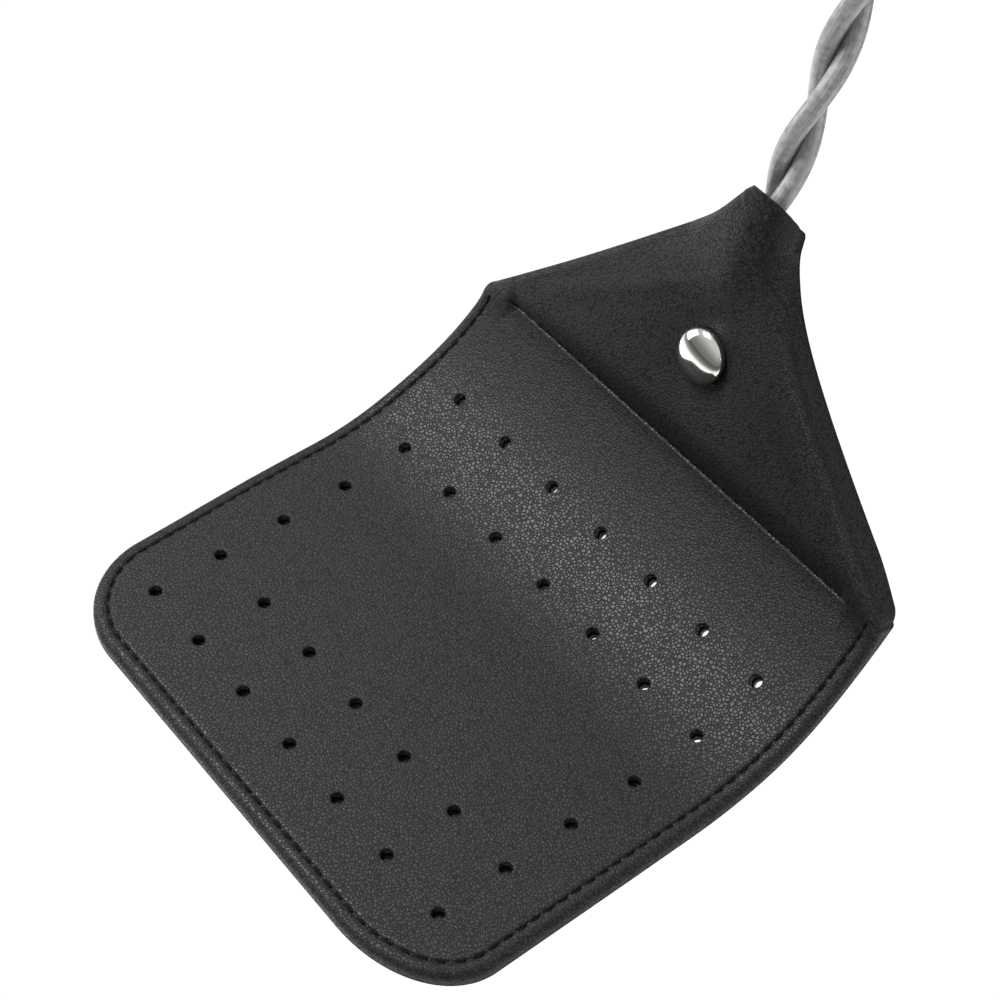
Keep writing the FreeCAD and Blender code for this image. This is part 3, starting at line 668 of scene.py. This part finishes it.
def triangulate(rim, inner_points, holes):
    """The flat area inside the rim line as triangles that leave the holes out. Gives the points, the
    triangles, the points' indices along the rim line and those round each hole."""
    rings = [[(p.s, p.y) for p in rim]]
    rings += [circle((s, y), radius + HOLE_LIP, HOLE_SIDES) for s, y, radius in holes]
    flat, edges, spans = [], [], []
    for ring in rings:
        first, count = len(flat), len(ring)
        flat += [Vector(p) for p in ring]
        edges += [(first + k, first + (k + 1) % count) for k in range(count)]
        spans.append(range(first, first + count))
    flat += [Vector(p) for p in inner_points]
    points, _, triangles, origins, *_ = delaunay_2d_cdt(flat, edges, [], 1, 1e-5)
    index_of = {source: index for index, sources in enumerate(origins) for source in sources}
    rim_ring, *hole_rings = [[index_of[k] for k in span] for span in spans]
    hole_of = {index: number for number, ring in enumerate(hole_rings) for index in ring}

    def in_hole(triangle):
        numbers = {hole_of.get(v) for v in triangle}
        return len(numbers) == 1 and None not in numbers

    return points, [found for found in triangles if not in_hole(found)], rim_ring, hole_rings


class LeatherMesh:
    """The vertices and faces of one leather, with the pattern as its UV map."""

    def __init__(self, relief):
        self.relief = relief
        self.verts, self.faces, self.uvs = [], [], []

    def add(self, s, y, h, u, v):
        self.verts.append(self.relief.place(s, y, h))
        self.uvs.append((u * MM, v * MM))
        return len(self.verts) - 1

    def face(self, corners):
        """Adds a face; corners run as on the front leather, and the back one mirrors them."""
        corners = distinct(corners)
        if len(corners) > 2:
            self.faces.append(corners if self.relief.layer == FRONT else corners[::-1])

    def edge_row(self, point):
        """The vertices from the rim line round the edge to the inner face."""
        section, joint = rim_profile(self.relief, point)
        row, length = [], 0.0
        for before, here in zip(section, section[1:]):
            length += gap(before, here)
            row.append(self.add(*point.out(here[0]), here[1], *point.out(length)))
        row.append(self.add(*point.out(RIM_INSET - THICK), joint, *point.out(length + THICK)))
        s, y = point.out(RIM_INSET - THICK - TURN_IN)
        row.append(self.add(s, y, self.relief.under(s, y), *point.out(length + THICK + TURN_IN)))
        return row

    def hole_wall(self, hole, outer, inner):
        """The rolled lip and the wall of a hole, from the outer face's ring to the inner face's."""
        s, y, radius = hole
        surface, floor = self.relief.top(s, y), self.relief.under(s, y)
        levels = (
            (radius + 0.12, surface - 0.03),
            (radius + 0.02, surface - 0.14),
            (radius, surface - 0.35),
            (radius, lerp(surface, floor, 0.6)),
            (radius, floor),
        )
        rings = [outer]
        for reach, height in levels:
            around = circle((s, y), reach, HOLE_SIDES)
            pattern = circle((s, y), radius - (surface - height), HOLE_SIDES)
            rings.append([self.add(*place, height, *uv) for place, uv in zip(around, pattern)])
        rings.append(inner)
        for upper, lower in zip(rings, rings[1:]):
            for k in range(HOLE_SIDES):
                following = (k + 1) % HOLE_SIDES
                self.face([lower[following], lower[k], upper[k], upper[following]])


def leather(name, relief, rim, inner_points, holes):
    """A closed leather mesh. The area inside the rim line is triangulated once and used for the outer and
    the inner face; the edge is built outwards from the rim line, and each hole gets a rolled lip."""
    points, triangles, rim_ring, hole_rings = triangulate(rim, inner_points, holes)
    mesh = LeatherMesh(relief)
    outer = [mesh.add(s, y, relief.top(s, y), s, y) for s, y in points]
    inner = [mesh.add(s, y, relief.under(s, y), s, y) for s, y in points]
    for triangle in triangles:
        mesh.face([outer[v] for v in triangle])
        mesh.face([inner[v] for v in reversed(triangle)])
    rows = [[outer[k], *mesh.edge_row(point), inner[k]] for k, point in zip(rim_ring, rim)]
    for first, second in zip(rows, rows[1:] + rows[:1]):
        for n in range(len(first) - 1):
            mesh.face([first[n], first[n + 1], second[n + 1], second[n]])
    for hole, ring in zip(holes, hole_rings):
        mesh.hole_wall(hole, [outer[k] for k in ring], [inner[k] for k in ring])
    return new_object(name, mesh.verts, mesh.faces, mesh.uvs)


def swatter_holes(layer):
    """The punched holes: two full rows and two pairs on the flat, two full rows on the bend."""
    holes = []
    for row in (-3, -1, 1, 3, 5, 7):
        columns = (-3, 3) if row in (1, 3) else range(-3, 4)
        s = row * ROW_PITCH / 2
        on_bend = s > BEND_START
        radius = HOLE_RADIUS
        if layer == BACK:
            radius = HOLE_RADIUS_BACK_BEND if on_bend else HOLE_RADIUS_BACK
        if on_bend:
            # the rows are evenly spaced on the front face, which is shorter than the middle there
            s = BEND_START + (s - BEND_START) * BEND_RADIUS / (BEND_RADIUS - THICK)
        holes += [(s, column * COLUMN_PITCH, radius) for column in columns]
    return holes


# how far grid points keep from the rim line and from the lip of a hole
RIM_CLEARANCE = 0.45
LIP_CLEARANCE = 0.75
LIP_RING = 0.5


def inside_points(rim, rows, holes):
    """Grid points inside the rim line and clear of the holes. rows gives each row's s and spacing."""
    polygon = [(p.s, p.y) for p in rim]
    found = []
    for s, spacing in rows:
        crossings = []
        for (s1, y1), (s2, y2) in zip(polygon, polygon[1:] + polygon[:1]):
            if (s1 - s) * (s2 - s) < 0 or (s1 == s and s2 != s):
                crossings.append(lerp(y1, y2, (s - s1) / (s2 - s1)))
        if len(crossings) < 2:
            continue
        low, high = min(crossings) + RIM_CLEARANCE, max(crossings) - RIM_CLEARANCE
        count = int((HALF_WIDTH + spacing) / spacing)
        for y in (k * spacing for k in range(-count, count + 1)):
            clear = all(
                math.hypot(s - hole_s, y - hole_y) > radius + HOLE_LIP + LIP_CLEARANCE
                for hole_s, hole_y, radius in holes
            )
            if low < y < high and clear:
                found.append((s, y))
    for s, y, radius in holes:
        found += circle((s, y), radius + HOLE_LIP + LIP_RING, HOLE_SIDES // 2, 0.5)
    return found


SEAM_GRID = STITCH_PITCH / 4
NECK_GRID = 0.8
BLADE_GRID = 1.25


def swatter_rows():
    """The grid's rows on the swatter: finest at the cross seam, finer near it and in the neck."""
    rows = []
    s = FREE_END + RIM_INSET + 0.7
    while s < NECK_START + NECK_LENGTH - RIM_INSET - 0.4:
        a = s - NECK_START
        if -0.6 < a < 3.0:
            spacing, step = SEAM_GRID, 0.2
        elif -5 < a < 10:
            spacing, step = SEAM_GRID, 0.5
        elif a > 0:
            spacing, step = NECK_GRID, NECK_GRID
        else:
            spacing, step = BLADE_GRID, min(BLADE_GRID, max(0.5, -a - 5))
        rows.append((s, spacing))
        s += step
    return rows


def grip_rows():
    """The grid's rows on the grip."""
    rows = []
    s = GRIP_START + RIM_INSET + 0.6
    while s < GRIP_END - RIM_INSET - 0.5:
        rows.append((s, 0.7))
        s += 1.0
    return rows


# ---------------------------------------------------------------- thread

THREAD_RADIUS = 0.17
STITCH_LENGTH = 1.5
STITCH_DEPTH = 0.5
STITCH_BOW = 0.14
STITCH_SLANT = math.radians(7)
STITCH_WANDER = 0.12
STITCH_SIDES = 8
STITCH_STEPS = 9


def stitch_mesh(name, stitches, place):
    """Short bowed lengths of thread. Each stitch is given by its middle on the pattern, its direction
    along the seam, and the height of the leather there."""
    verts, faces, uvs = [], [], []
    for number, (s, y, ds, dy, height) in enumerate(stitches):
        base = len(verts)
        wander = noise.noise(Vector((number * 0.7, s * 0.1, y * 0.1))) * STITCH_WANDER
        cos, sin = math.cos(STITCH_SLANT + wander), math.sin(STITCH_SLANT + wander)
        ts, ty = ds * cos - dy * sin, ds * sin + dy * cos
        for k in range(STITCH_STEPS):
            t = k / (STITCH_STEPS - 1) * 2 - 1
            along = t * STITCH_LENGTH / 2
            level = height - STITCH_DEPTH + STITCH_BOW * (1 - t * t)
            girth = THREAD_RADIUS * math.sqrt(max(1 - abs(t) ** 5, 0.02))
            for n in range(STITCH_SIDES):
                angle = 2 * math.pi * n / STITCH_SIDES
                side, lift = math.cos(angle) * girth, math.sin(angle) * girth
                verts.append(place(s + ts * along - ty * side, y + ty * along + ts * side, level + lift))
                uvs.append((along * MM + number * 0.01, angle * THREAD_RADIUS * MM))
        for k in range(STITCH_STEPS - 1):
            band(faces, base + k * STITCH_SIDES, base + (k + 1) * STITCH_SIDES, STITCH_SIDES)
        faces.append([base + n for n in range(STITCH_SIDES)][::-1])
        faces.append([base + (STITCH_STEPS - 1) * STITCH_SIDES + n for n in range(STITCH_SIDES)])
    return new_object(name, verts, faces, uvs)


def rim_stitches(rim, relief):
    """One stitch in each slot of the sewing groove."""
    sewn = [p for p in rim if p.stitch is not None]
    out = RIM_INSET - STITCH_INSET
    stitches = []
    number = 0
    for p, q in zip(sewn, sewn[1:]):
        while q.stitch >= (number + 0.5) * STITCH_PITCH:
            t = ((number + 0.5) * STITCH_PITCH - p.stitch) / max(q.stitch - p.stitch, 1e-9)
            s, y = (lerp(u, v, t) for u, v in zip(p.out(out), q.out(out)))
            stitches.append((s, y, -p.dy, p.ds, relief.top(s, y)))
            number += 1
    return stitches


def seam_stitches():
    """The straight seam across the base of the neck."""
    count = round(2 * SEAM_HALF / STITCH_PITCH)
    return [
        (NECK_START + SEAM_PLACE, (k + 0.5 - count / 2) * STITCH_PITCH, 0.0, 1.0, THICK)
        for k in range(count)
    ]


# ---------------------------------------------------------------- wire

WIRE_SIDES = 24
WIRE_WOBBLE = 0.012
STRAND_STEPS = 420
LEG_STEPS = 40
CORNER_STEPS = 12
BASE_STEPS = 30


def strand(turn):
    """Centre line of one strand from the neck up, starting at the given angle."""
    found = []
    for k in range(STRAND_STEPS + 1):
        a = lerp(TWIST_START, WIRE_END, k / STRAND_STEPS)
        angle = 2 * math.pi * (a - TWIST_START) / TWIST_PITCH + turn
        found.append(Vector((a, STRAND_OFFSET * math.cos(angle), STRAND_OFFSET * math.sin(angle))))
    return found


def wire_path():
    """The wire's centre line in the neck's frame: down one strand, round the loop and up the other."""
    corner = Vector((LOOP_BASE, LOOP_HALF_WIDTH, 0))
    top = Vector((TWIST_START, STRAND_OFFSET, 0))
    leg = (top - corner).normalized()
    opening = math.pi / 2 + math.atan2(leg.y, leg.x)
    short_by = LOOP_CORNER / math.tan(opening / 2)
    centre = Vector((LOOP_BASE + LOOP_CORNER, LOOP_HALF_WIDTH - short_by, 0))
    foot = corner + leg * short_by
    half_loop = [top.lerp(foot, k / LEG_STEPS) for k in range(1, LEG_STEPS)]
    for k in range(CORNER_STEPS + 1):
        angle = lerp(opening, math.pi, k / CORNER_STEPS)
        half_loop.append(centre + Vector((math.cos(angle), math.sin(angle), 0)) * LOOP_CORNER)
    base = [
        Vector((LOOP_BASE, lerp(centre.y, -centre.y, k / BASE_STEPS), 0)) for k in range(1, BASE_STEPS)
    ]
    other_half = [Vector((p.x, -p.y, 0)) for p in reversed(half_loop)]
    return strand(0.0)[::-1] + half_loop + base + other_half + strand(math.pi)


def tube(name, path, radius, sides, place):
    """A closed tube along a path, with a frame that turns as little as it can."""
    last = len(path) - 1
    tangents = [(path[min(k + 1, last)] - path[max(k - 1, 0)]).normalized() for k in range(last + 1)]
    side = tangents[0].orthogonal().normalized()
    verts, faces, uvs = [], [], []
    reach = 0.0
    for k, (point, tangent) in enumerate(zip(path, tangents)):
        if k:
            side = tangents[k - 1].rotation_difference(tangent) @ side
            reach += (point - path[k - 1]).length
        side = (side - tangent * side.dot(tangent)).normalized()
        other = tangent.cross(side)
        girth = radius * (1 + WIRE_WOBBLE * noise.noise(Vector((reach * 0.25, 0, 0))))
        for n in range(sides):
            angle = 2 * math.pi * n / sides
            verts.append(place(*(point + (side * math.cos(angle) + other * math.sin(angle)) * girth)))
            uvs.append((reach * MM, radius * angle * MM))
    for k in range(last):
        band(faces, k * sides, (k + 1) * sides, sides)
    faces.append(list(range(sides))[::-1])
    faces.append([last * sides + n for n in range(sides)])
    return new_object(name, verts, faces, uvs)


# ---------------------------------------------------------------- turned metal parts

def lathe(name, profile, place, sides=64):
    """Turns a profile of (radius, height) about the height axis; a radius of 0 is a pole."""
    verts, faces, uvs, rings = [], [], [], []
    reach = 0.0
    for k, (radius, height) in enumerate(profile):
        if k:
            reach += gap(profile[k - 1], profile[k])
        if radius < 1e-6:
            verts.append(place(0, 0, height))
            uvs.append((0.0, reach * MM))
            rings.append([len(verts) - 1])
            continue
        ring = []
        for n in range(sides):
            angle = 2 * math.pi * n / sides
            verts.append(place(radius * math.cos(angle), radius * math.sin(angle), height))
            uvs.append((radius * angle * MM, reach * MM))
            ring.append(len(verts) - 1)
        rings.append(ring)
    for low, high in zip(rings, rings[1:]):
        for n in range(sides):
            following = (n + 1) % sides
            corners = [low[n % len(low)], low[following % len(low)]]
            corners += [high[following % len(high)], high[n % len(high)]]
            corners = distinct(corners)
            if len(corners) > 2:
                faces.append(corners)
    return new_object(name, verts, faces, uvs)


# ---------------------------------------------------------------- materials

def node_adder(tree):
    """A function that adds a node to a tree, with its settings, its inputs' values and their links."""
    def add(kind, links=None, values=None, **settings):
        added = tree.nodes.new(kind)
        for key, value in settings.items():
            setattr(added, key, value)
        for key, value in (values or {}).items():
            added.inputs[key].default_value = value
        for key, source in (links or {}).items():
            tree.links.new(source, added.inputs[key])
        return added

    return add


class Paint:
    """A node material under construction. Patterns are in metres on the leather's pattern."""

    def __init__(self, name, **values):
        self.material = bpy.data.materials.new(name)
        self.material.use_nodes = True
        self.tree = self.material.node_tree
        self.shader = self.tree.nodes["Principled BSDF"]
        self.add = node_adder(self.tree)
        for key, value in values.items():
            self.shader.inputs[key.replace("_", " ")].default_value = value

    def pattern(self):
        return self.add("ShaderNodeUVMap", uv_map="pattern").outputs["UV"]

    def noise(self, place, scale, detail):
        values = {"Scale": scale, "Detail": detail}
        return self.add("ShaderNodeTexNoise", {"Vector": place}, values).outputs

    def spread(self, value, low, high):
        """Maps 0 to 1 onto low to high."""
        values = {"To Min": low, "To Max": high}
        return self.add("ShaderNodeMapRange", {"Value": value}, values).outputs["Result"]

    def multiply_add(self, value, factor, more):
        links, values = {0: value, 2: more}, {1: factor}
        return self.add("ShaderNodeMath", links, values, operation="MULTIPLY_ADD").outputs["Value"]

    def colour_between(self, value, dark, light, places=(0.0, 1.0)):
        ramp = self.add("ShaderNodeValToRGB", {"Fac": value})
        for element, shade, place in zip(ramp.color_ramp.elements, (dark, light), places):
            element.position = place
            element.color = shade
        self.link(ramp.outputs["Color"], "Base Color")

    def bumps(self, height, distance, strength=1.0):
        values = {"Distance": distance, "Strength": strength}
        made = self.add("ShaderNodeBump", {"Height": height}, values)
        self.link(made.outputs["Normal"], "Normal")

    def link(self, source, socket):
        self.tree.links.new(source, self.shader.inputs[socket])


def colour(value, tint=(1.0, 1.0, 1.0)):
    """A tinted grey of a given brightness."""
    return (value * tint[0], value * tint[1], value * tint[2], 1.0)


def leather_material():
    """Black pebbled leather: raised cells about 0.6 mm across with dull cracks between them, coloured darker
    as painted shade, finer pores, a slow swell, and uneven gloss."""
    paint = Paint("black_pebbled_leather", Specular_IOR_Level=0.19)
    uv = paint.pattern()
    warp = paint.noise(uv, 900.0, 2.0)["Color"]
    shift = paint.add("ShaderNodeVectorMath", {0: warp}, {"Scale": 0.00016}, operation="SCALE")
    bent = paint.add("ShaderNodeVectorMath", {0: uv, 1: shift.outputs["Vector"]}, operation="ADD")
    cells = paint.add(
        "ShaderNodeTexVoronoi",
        {"Vector": bent.outputs["Vector"]},
        {"Scale": 1750.0},
        feature="DISTANCE_TO_EDGE",
    )
    pebble = paint.add(
        "ShaderNodeMapRange",
        {"Value": cells.outputs["Distance"]},
        {"From Max": 0.21},
        interpolation_type="SMOOTHSTEP",
    ).outputs["Result"]
    pores = paint.noise(uv, 4200.0, 2.0)["Fac"]
    swell = paint.noise(uv, 260.0, 2.0)["Fac"]
    fine = paint.multiply_add(pores, 0.2, pebble)
    paint.bumps(paint.multiply_add(swell, 0.8, fine), 0.000045)
    # painted shade: the cracks between the cells are coloured much darker than the cell tops
    paint.colour_between(pebble, colour(0.002), colour(0.0165, (1.0, 0.99, 0.97)))
    patches = paint.noise(uv, 90.0, 3.0)["Fac"]
    cracks = paint.spread(patches, 0.6, 0.68)
    paint.link(paint.multiply_add(pebble, -0.22, cracks), "Roughness")
    return paint.material


def thread_material():
    """Black bonded sewing thread with the twist of its plies."""
    paint = Paint("black_sewing_thread", Roughness=0.6, Specular_IOR_Level=0.08)
    twist = {"Rotation": (0, 0, math.radians(38))}
    turned = paint.add("ShaderNodeMapping", {"Vector": paint.pattern()}, twist)
    plies = paint.add("ShaderNodeTexWave", {"Vector": turned.outputs["Vector"]}, {"Scale": 900.0})
    paint.bumps(plies.outputs["Fac"], 0.00008, 0.6)
    paint.colour_between(plies.outputs["Fac"], colour(0.001), colour(0.004))
    return paint.material


def wire_material():
    """Dull galvanised steel with drawing marks along the wire and a mottled zinc bloom."""
    paint = Paint("galvanised_wire_finish", Metallic=0.75)
    uv = paint.pattern()
    drawn = {"Scale": (160.0, 4200.0, 1.0)}
    stretched = paint.add("ShaderNodeMapping", {"Vector": uv}, drawn)
    marks = paint.noise(stretched.outputs["Vector"], 1.0, 4.0)["Fac"]
    bloom = paint.noise(uv, 900.0, 4.0)["Fac"]
    both = paint.add("ShaderNodeMath", {0: marks, 1: bloom}, operation="ADD")
    mean = paint.add("ShaderNodeMath", {0: both.outputs["Value"]}, {1: 0.5}, operation="MULTIPLY")
    mottle = mean.outputs["Value"]
    zinc = (1.0, 1.01, 1.03)
    paint.bumps(mottle, 0.00012, 0.5)
    paint.colour_between(mottle, colour(0.2, zinc), colour(0.44, zinc), (0.35, 0.65))
    paint.link(paint.spread(mottle, 0.42, 0.62), "Roughness")
    return paint.material


def nickel_material():
    """Polished nickel plate, faintly clouded by handling."""
    paint = Paint("polished_nickel", Metallic=1.0)
    cloud = paint.noise(paint.add("ShaderNodeTexCoord").outputs["Object"], 700.0, 4.0)["Fac"]
    paint.colour_between(cloud, colour(0.72, (1.0, 0.97, 0.93)), colour(0.84, (1.0, 0.98, 0.95)))
    paint.link(paint.spread(cloud, 0.05, 0.14), "Roughness")
    return paint.material


LEATHER = leather_material()
THREAD = thread_material()
GALVANISED = wire_material()
NICKEL = nickel_material()


# ---------------------------------------------------------------- the pieces

def finish_piece(piece, material, slot, *nodes):
    """Gives a piece its material and lets it take the place of CAD nodes; the slot is not used."""
    piece.data.materials.append(material)
    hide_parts(*nodes)
    return piece


# the stretch from the start of the bend to just short of the neck; nothing below uses it
BLEND_START = on_pattern(BEND_START, 0, 0)
BLEND_END = on_pattern(NECK_START - 2.5, 0, 0)

rim = swatter_rim()
grid = inside_points(rim, swatter_rows(), swatter_holes(FRONT))
for word, layer in LAYERS:
    relief = SwatterRelief(layer)
    piece = leather(f"{word}_swatter_leather", relief, rim, grid, swatter_holes(layer))
    nodes = [f"{word}_{part}_leather" for part in ("blade", "bend", "neck")]
    finish_piece(piece, LEATHER, "black_leather", *nodes)
    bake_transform(piece)

    piece = stitch_mesh(f"{word}_edge_stitches", rim_stitches(rim, relief), relief.place)
    finish_piece(piece, THREAD, "black_thread", f"{word}_edge_thread", f"{word}_bend_edge_thread")
    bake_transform(piece)

    piece = stitch_mesh(f"{word}_cross_seam_stitches", seam_stitches(), relief.place)
    finish_piece(piece, THREAD, "black_thread", f"{word}_cross_seam_thread")
    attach(piece, "handle")

rim = grip_rim()
grip_holes = [(EYELET_PLACE, 0.0, EYELET_HOLE_RADIUS)]
grid = inside_points(rim, grip_rows(), grip_holes)
for word, layer in LAYERS:
    relief = GripRelief(layer)
    piece = leather(f"{word}_grip_cover", relief, rim, grid, grip_holes)
    finish_piece(piece, LEATHER, "black_leather", f"{word}_grip_leather")
    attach(piece, "handle")

    piece = stitch_mesh(f"{word}_grip_stitches", rim_stitches(rim, relief), relief.place)
    finish_piece(piece, THREAD, "black_thread", f"{word}_grip_thread")
    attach(piece, "handle")

piece = tube("twisted_wire_pair", wire_path(), WIRE_RADIUS, WIRE_SIDES, on_neck)
finish_piece(piece, GALVANISED, "galvanised_wire", "twisted_wire")
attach(piece, "handle")

CAP_SEAT = NECK_TOP - 1.0
CAP_RIM = 0.85
CAP_HEIGHT = 1.7
CAP_STEPS = 14
POST_RADIUS = 1.6


def rivet_section():
    """Half section of a rivet cap, from the pole out over the shoulder and back under to the post."""
    shoulder = CAP_SEAT + CAP_RIM
    section = [(0.0, shoulder + CAP_HEIGHT)]
    for k in range(1, CAP_STEPS + 1):
        angle = math.pi / 2 * k / CAP_STEPS
        section.append((RIVET_RADIUS * math.sin(angle), shoulder + CAP_HEIGHT * math.cos(angle)))
    return section + [
        (RIVET_RADIUS, CAP_SEAT + CAP_RIM / 2),
        (RIVET_RADIUS - 0.12, CAP_SEAT + 0.05),
        (RIVET_RADIUS - 0.55, CAP_SEAT),
        (POST_RADIUS, CAP_SEAT),
        (POST_RADIUS, 0.0),
        (0.0, 0.0),
    ]


for name, node, layer in (("rivet_cap_front", "rivet_cap", FRONT), ("rivet_cap_back", "rivet_stud", BACK)):
    def at_rivet(x, y, h, layer=layer):
        return on_neck(RIVET_PLACE + x, y * layer, h * layer)

    piece = lathe(name, rivet_section(), at_rivet)
    finish_piece(piece, NICKEL, "nickel", node)
    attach(piece, "handle")

# the eyelet and its washer keep their CAD shapes
for node in ("hanging_eyelet", "eyelet_washer"):
    shape = frame["nodes"][node]
    for place in shape.material_slots:
        place.material = NICKEL
    if not shape.material_slots:
        shape.data.materials.append(NICKEL)


# ---------------------------------------------------------------- floor, light and camera, in metres

FLOOR_DROP = 0.09
FLOOR_HALF = 6.0
# the floor's colour is a painted pool of light, pale round the object and darker far from it, but the floor
# shows white to the camera
FLOOR_NEAR, FLOOR_FAR = 0.85, 0.12
FLOOR_POOL = (0.22, 0.6)
BACKDROP = 1.05
# light of the surroundings, at the horizon and from a height of WORLD_TOP up
WORLD_LOW, WORLD_HIGH, WORLD_TOP = 0.21, 0.7, 0.8

floor_mesh = bpy.data.meshes.new("floor")
corners = [(-1, -1), (1, -1), (1, 1), (-1, 1)]
floor_mesh.from_pydata([(x * FLOOR_HALF, y * FLOOR_HALF, 0) for x, y in corners], [], [(0, 1, 2, 3)])
floor = bpy.data.objects.new("floor", floor_mesh)
floor.location.z = CAD_BOX[0].z - FLOOR_DROP
bpy.context.scene.collection.objects.link(floor)
paint = Paint("pale_floor", Roughness=0.9)
place = paint.add("ShaderNodeTexCoord").outputs["Object"]
away = paint.add("ShaderNodeVectorMath", {0: place}, operation="LENGTH").outputs["Value"]
# painted pool of light: the floor's colour fades from pale near the object to dark far from it
pool = {"From Min": FLOOR_POOL[0], "From Max": FLOOR_POOL[1], "To Min": FLOOR_NEAR, "To Max": FLOOR_FAR}
shade = paint.add("ShaderNodeMapRange", {"Value": away}, pool, interpolation_type="SMOOTHSTEP")
paint.link(shade.outputs["Result"], "Base Color")
seen = paint.add("ShaderNodeLightPath").outputs["Is Camera Ray"]
glow = paint.add("ShaderNodeEmission", values={"Strength": BACKDROP})
mixed = paint.add("ShaderNodeMixShader", {0: seen, 1: paint.shader.outputs[0], 2: glow.outputs[0]})
paint.tree.links.new(mixed.outputs[0], paint.tree.nodes["Material Output"].inputs["Surface"])
floor_mesh.materials.append(paint.material)

world = bpy.data.worlds.new("studio")
bpy.context.scene.world = world
world.use_nodes = True
sky = world.node_tree
add = node_adder(sky)
background = sky.nodes["Background"]
background.inputs["Color"].default_value = colour(1.0)
direction = add("ShaderNodeSeparateXYZ", {0: add("ShaderNodeTexCoord").outputs["Generated"]})
dome = {"From Max": WORLD_TOP, "To Min": WORLD_LOW, "To Max": WORLD_HIGH}
light = add("ShaderNodeMapRange", {"Value": direction.outputs["Z"]}, dome, interpolation_type="SMOOTHSTEP")
strength = add(
    "ShaderNodeMapRange",
    {"Value": add("ShaderNodeLightPath").outputs["Is Camera Ray"], "To Min": light.outputs["Result"]},
    {"To Max": BACKDROP},
)
sky.links.new(strength.outputs["Result"], background.inputs["Strength"])

LIGHT_TARGET = Vector((0.03, 0, 0.02))


def softbox(name, direction, distance, size, power):
    """A square area light that faces the middle of the blade from a direction."""
    lamp = bpy.data.lights.new(name, "AREA")
    lamp.shape = "SQUARE"
    lamp.size = size
    lamp.energy = power
    thing = bpy.data.objects.new(name, lamp)
    thing.location = LIGHT_TARGET + Vector(direction).normalized() * distance
    thing.rotation_mode = "QUATERNION"
    thing.rotation_quaternion = (LIGHT_TARGET - thing.location).to_track_quat("-Z", "Y")
    bpy.context.scene.collection.objects.link(thing)


softbox("key_softbox", (-0.22, 0.45, 0.87), distance=0.9, size=0.36, power=15.0)
softbox("side_softbox", (0.4, -0.9, 0.1), distance=0.6, size=0.4, power=1.0)
softbox("left_softbox", (-0.35, 0.9, 0.2), distance=0.7, size=0.4, power=1.3)

CAMERA_PLACE = Vector((-0.1224, -0.1592, 0.2784))
CAMERA_AHEAD = Vector((0.43686, 0.48836, -0.75542)).normalized()
CAMERA_RIGHT = Vector((0.77873, -0.62569, 0.04585)).normalized()
camera_up = CAMERA_RIGHT.cross(CAMERA_AHEAD)
turned = Matrix((CAMERA_RIGHT, camera_up, -CAMERA_AHEAD)).transposed()
camera_data = bpy.data.cameras.new("camera")
camera_data.lens = 80.47
camera_data.sensor_width = 36.0
camera_data.clip_start = 0.01
camera_data.clip_end = 50.0
camera = bpy.data.objects.new("camera", camera_data)
camera.matrix_world = Matrix.Translation(CAMERA_PLACE) @ turned.to_4x4()
bpy.context.scene.collection.objects.link(camera)
bpy.context.scene.camera = camera
bpy.context.scene.view_settings.view_transform = "Standard"
